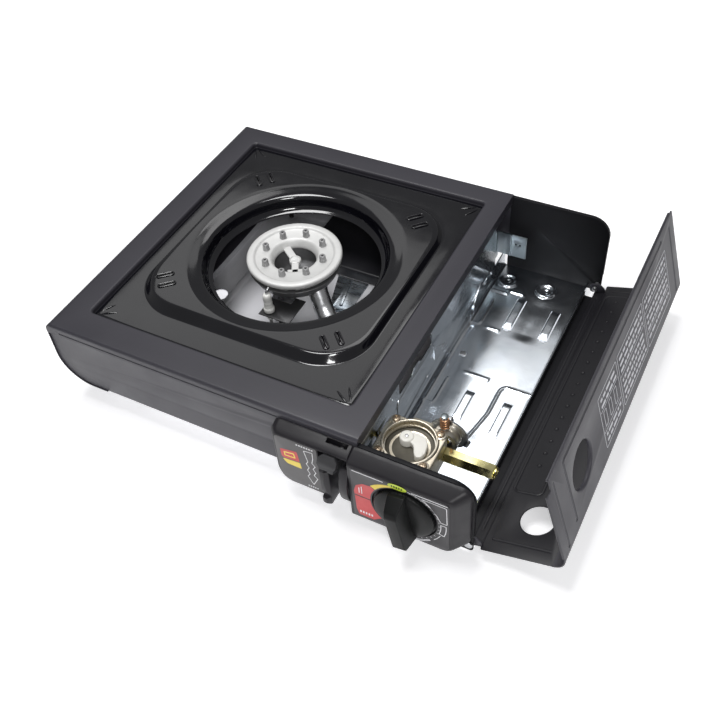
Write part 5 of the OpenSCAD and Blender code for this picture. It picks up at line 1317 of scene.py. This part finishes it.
def regulator():
    # body: block with rounded corners, drafted walls and a stepped top
    outer = rr(257.6, 12.5, 300.6, 50.5, 7, 10)
    hole = circ(CX, CY, 17.6, 96)
    o = group("regulator_block", [plate(outer, (), 30, 50, 0.9, 3, "xy")], diecast, rep=("regulator_body",), slot="diecast", angle=34)
    parts = [cyl((x, y, 0), 4.2, 30, 50.95, "z", 32, 0.5) for x, y in SCREWS]
    boolean(o, parts, op="UNION", angle=34)
    cut = [lathe([(0, 43.9), (16.6, 43.9), (17.2, 44.1), (17.6, 44.8), (17.6, 56), (0, 56)], 96, (CX, CY, 0), closed=False), cyl((CX, CY, 0), 15, 29, 33, "z", 64, 0.01),
           cyl((KX, 0, KZ), 3.6, 8, 30, "y", 32, 0.01), box(290, 41 - 3.6, KZ - 3.6, 303, 41 + 3.6, KZ + 3.6, 0, 0)]
    cut += [cyl((x, y, 0), 1.55, 42.8, 53, "z", 20, 0.01) for x, y in SCREWS]
    boolean(o, cut, angle=34)
    # the cup's rim ring and the shoulder inside it
    group("regulator_ring", [lathe([(17.55, 49.6), (17.6, 50.9), (17.8, 51.15), (18.3, 51.25), (19.0, 51.15), (19.4, 50.8), (19.7, 50.1), (19.9, 49.8)], 96, (CX, CY, 0)),
                             lathe([(17.7, 46.4), (16.9, 46.3), (16.75, 46.0), (16.8, 45.4), (17.7, 45.2)], 96, (CX, CY, 0))], diecast, rep=("regulator_body",), slot="diecast")
    group("regulator_cup_floor", [lathe([(0, 43.0), (16.9, 43.0), (17.3, 43.4), (17.3, 44.2), (16.9, 44.3), (15.6, 43.95), (14.0, 43.9), (13.6, 43.5), (12.6, 43.45), (12.2, 43.9),
                                                (6, 43.95), (0, 43.95)], 72, (CX, CY, 0), closed=False)], cup_dark, rep=("regulator_body",), slot="diecast")
    # inlet neck, valve neck and flange side bosses
    neck = [lathe([(6.4, 50), (9.8, 50), (9.8, 53.2), (9.5, 53.6), (9.5, 56.6), (9.8, 57.0), (9.8, 57.7), (9.5, 58), (8.1, 58), (8.1, 54), (6, 54), (6, 51)], 64, (KX, 0, KZ), "y"),
            lathe([(3.6, 9.5), (5.2, 9.6), (7.6, 9.5), (8, 9.9), (8, 13), (3.6, 13)], 48, (KX, 0, KZ), "y")]
    group("regulator_necks", neck, diecast, rep=("regulator_body",), slot="diecast")
    ribs = [plate([(257.7, 41), (257.7, 32), (259.9, 30.6), (259.9, 42.6)], (), 50.0, 50.7, 0.25, 1, "xy"),
            plate(rr(272.5, 50.0, 287.0, 53.8, 1.2, 3), (), 44.0, 49.4, 0.5, 2, "xy"),
            plate(rr(288.6, 49.6, 299.2, 57.2, (1, 1, 3.4, 3.4), 5), (), 43.6, 46.6, 0.5, 2, "xy")]
    group("regulator_ribs", ribs, diecast, rep=("regulator_body",), slot="diecast")
    # cover below the diaphragm, diaphragm
    group("diaphragm_cover_cup", [lathe([(0, 22), (11.4, 22), (12.4, 22.3), (14.7, 23.8), (15.2, 24.6), (15.4, 27.4), (15.8, 27.8), (18.1, 27.8), (18.4, 28.1), (18.4, 28.9), (13.6, 29), (13.6, 23.4), (0, 23.2)],
                                       72, (CX, CY, 0), closed=False)], diecast, rep=("diaphragm_cover",), slot="diecast")
    group("diaphragm_disc", [lathe([(0, 29.1), (9, 29.1), (9.4, 29.5), (9.8, 29.9), (18, 30.0), (18, 29.1), (9.6, 29.0), (0, 28.9)], 64, (CX, CY, 0), closed=False)], rubber, rep=("diaphragm",), slot="rubber")


def rocker():
    P = fil([(273.5, 32.2, 2), (279, 33.4, 3), (282.2, 31.4, 3), (284.8, 26, 4), (287.6, 23.2, 2.4), (290.6, 23.6, 2.4), (291.8, 29, 3), (290.6, 36, 4), (287, 41, 4), (281, 42.2, 3), (276, 41.4, 2)], 6)
    body = plate(P, (), 44.4, 49.2, 0.8, 3, "xy")
    boss = lathe([(1.3, 43.6), (4.6, 43.6), (5.0, 44.0), (5.0, 49.2), (4.7, 49.8), (4.1, 50.1), (2.3, 50.15), (1.9, 49.9), (1.3, 49.8)], 48, (275, 36.5, 0))
    tip = lathe([(0, 44.2), (2.6, 44.2), (2.9, 44.5), (2.9, 49.2), (2.6, 49.6), (0, 49.75)], 32, (288.3, 26.2, 0), closed=False)
    o = group("regulator_rocker_lever", [body], white_pl, body="regulator_rocker", rep=("regulator_rocker",), slot="white_plastic", angle=30)
    boolean(o, [cyl((275, 36.5, 0), 3.0, 43, 51, "z", 32, 0.01)], angle=30)
    group("regulator_rocker_boss", [boss, tip], white_pl, body="regulator_rocker", rep=("regulator_rocker",), slot="white_plastic")
    group("rocker_pin_bar", [cyl((275, 36.5, 0), 1.2, 40.2, 50.6, "z", 24, 0.25)], zinc, rep=("rocker_pin",), slot="plated_steel")


def spring():
    at = (294.8, 54.2, 0)
    group("spring_post_bar", [cyl(at, 2.2, 46.7, 60.5, "z", 32, 0.3)], zinc, rep=("spring_post",), slot="plated_steel")
    group("spring_post_cap", [lathe([(0, 60.4), (2.6, 60.4), (2.7, 60.6), (2.65, 60.95), (2.3, 61.2), (0, 61.2)], 32, at, closed=False)], galv_dark,
          rep=("spring_post",), slot="plated_steel")
    P = []
    n = 4 * 40
    for i in range(n + 1):
        t = i / n
        a = 2 * PI * 4 * t
        e = min(1.0, t * 9, (1 - t) * 9)
        z = 48.9 + 9.9 * t + (0.0 if e >= 1 else 0.0)
        P.append((294.8 + 2.85 * math.cos(a), 54.2 + 2.85 * math.sin(a), z))
    group("cutoff_spring_coil", [tube(P, 0.58, 12)], copper, rep=("cutoff_spring",), slot="copper_wire")


def flange():
    f0 = FL - 1.5
    disc = lathe([(8.1, f0), (13.6, f0), (14, f0 + 0.3), (14, FL - 0.4), (13.6, FL), (9.6, FL), (9.2, FL + 0.0), (8.5, FL), (8.1, FL - 0.3)], 96, (KX, 0, KZ), "y")
    lug = plate(rr(KX - 2.5, KZ + 10.2, KX + 2.5, KZ + 15.5, (0.6, 0.6, 1.6, 1.6), 4), (), f0, FL + 2.0, 0.35, 2, "xz")
    ears = []
    for a in (200, 340):
        A = math.radians(a)
        u, v = np.array((math.cos(A), math.sin(A))), np.array((-math.sin(A), math.cos(A)))
        c = np.array((KX, KZ))
        Q = [c + u * 12.2 - v * 4, c + u * 16 - v * 4, c + u * 16 + v * 4, c + u * 12.2 + v * 4]
        ears.append(plate(fil([(q[0], q[1], r) for q, r in zip(ccw(Q), (0.2, 1.6, 1.6, 0.2))], 4), (), f0, FL, 0.3, 2, "xz"))
    group("locating_flange_disc", [disc, lug] + ears, zinc, rep=("locating_flange",), slot="plated_steel", angle=32)
    group("inlet_nozzle_stem", [lathe([(0.6, FL - 11), (1.5, FL - 11), (1.6, FL - 10.8), (1.6, FL - 8.1), (3.2, FL - 8), (3.4, FL - 7.8), (3.4, FL - 7.5), (1.7, FL - 7.4), (1.6, FL - 6.2), (1.2, FL - 5.6), (0.6, FL - 5.6)],
                                      32, (KX, 0, KZ), "y")], brass, rep=("inlet_nozzle",), slot="brass")
    # brass hexagon bar with a turned groove and a hollow end
    H = [(41 + 5.6 * math.cos(math.radians(60 * i)), KZ + 5.6 * math.sin(math.radians(60 * i))) for i in range(6)]
    o = group("relief_bar", [plate(H, (), 300.7, 336.5, 0.45, 2, "yz")], brass, rep=("relief_cylinder",), slot="brass", angle=34)
    boolean(o, [cyl((0, 41, KZ), 2.4, 333.6, 340, "x", 32, 0.01)], angle=34)
    group("relief_bar_ends", [lathe([(2.4, 336.2), (4.0, 336.2), (4.2, 336.6), (4.2, 337.6), (3.8, 338), (2.8, 338), (2.4, 337.6)], 48, (0, 41, KZ), "x"),
                              lathe([(0, 293), (3.6, 293), (3.9, 293.3), (3.9, 301), (0, 301)], 32, (0, 41, KZ), "x", closed=False)], brass, rep=("relief_cylinder",), slot="brass", angle=34)
    # screws with domed slotted heads
    S = [lathe([(0, 44), (1.5, 44), (1.5, 50.9), (2.75, 50.95), (2.9, 51.2), (2.85, 51.8), (2.5, 52.3), (1.6, 52.6), (0, 52.7)], 32, (x, y, 0), closed=False) for x, y in SCREWS]
    o = group("regulator_screw_heads", S, screw_mat, rep=("regulator_screws",), slot="plated_steel", angle=34)
    for q in (0, 90):
        cut = []
        for (x, y), a in zip(SCREWS, (25, -40, 70, 10)):
            A = math.radians(a + q)
            cut.append(rect_path((x, y), (math.cos(A), math.sin(A)), 0.32, 1.7, 51.9, 53.5, 0.01, 1))
        boolean(o, cut, angle=34)
    refine("piezo_body", 0.5, white_pl)
    refine("piezo_plunger", 0.2, white_pl)
    refine("knob_cam", 0.2, white_pl, flat=0.2)
    refine("valve_shaft", 0.25, zinc)
    refine("valve_seal", 0.15, rubber)
    group("inlet_seal_ring", [tube([(KX + 4.8 * math.cos(a), FL - 6.6, KZ + 4.8 * math.sin(a)) for a in np.linspace(0, 2 * PI, 49)[:-1]], 1.1, 16, closed=True)], rubber, rep=("inlet_seal",), slot="rubber")


def small():
    refine("lever_bracket", 0.25, zinc)
    refine("lever_pin", 0.4, zinc)
    refine("crank_pin", 0.2, zinc)
    refine("slide_rivets", 0.4, zinc)
    refine("cover_hinge_pins", 0.4, zinc)
    refine("casing_screws", 0.3, zinc)
    route = [(262, 5.5, 30), (261, 6, 23), (259, 7, 17), (255, 8, 13.6), (250, 10, 13), (243, 13, 13), (232, 17, 12.6), (216, 24, 12.4), (198, 34, 12.4), (180, 47, 12.4),
             (163, 61, 13), (148, 74, 15), (138, 84, 19), (132, 92, 25), (129.5, 97.5, 32), (128.6, 100, 38), (128.5, 100.5, 41.6)]
    group("ignition_lead_cable", [tube(smooth_path(route, 6), 1.3, 14)], sleeve, rep=("ignition_lead",), slot="lead_sleeve")


cup_dark = material("cup_floor", (0.060, 0.054, 0.042), 0.42, metal=0.6, tint=(0.13, 0.12, 0.095), tint_scale=60, tint_amount=0.9, rough_to=0.55, rough_scale=150, bump=0.00002, bump_scale=500)
screw_mat = material("screw_heads", (0.46, 0.36, 0.26), 0.30, metal=1.0, tint=(0.60, 0.50, 0.38), tint_scale=200, rough_to=0.42, rough_scale=300, bump=0.00001, bump_scale=1500)
regulator()
rocker()
spring()
flange()
small()
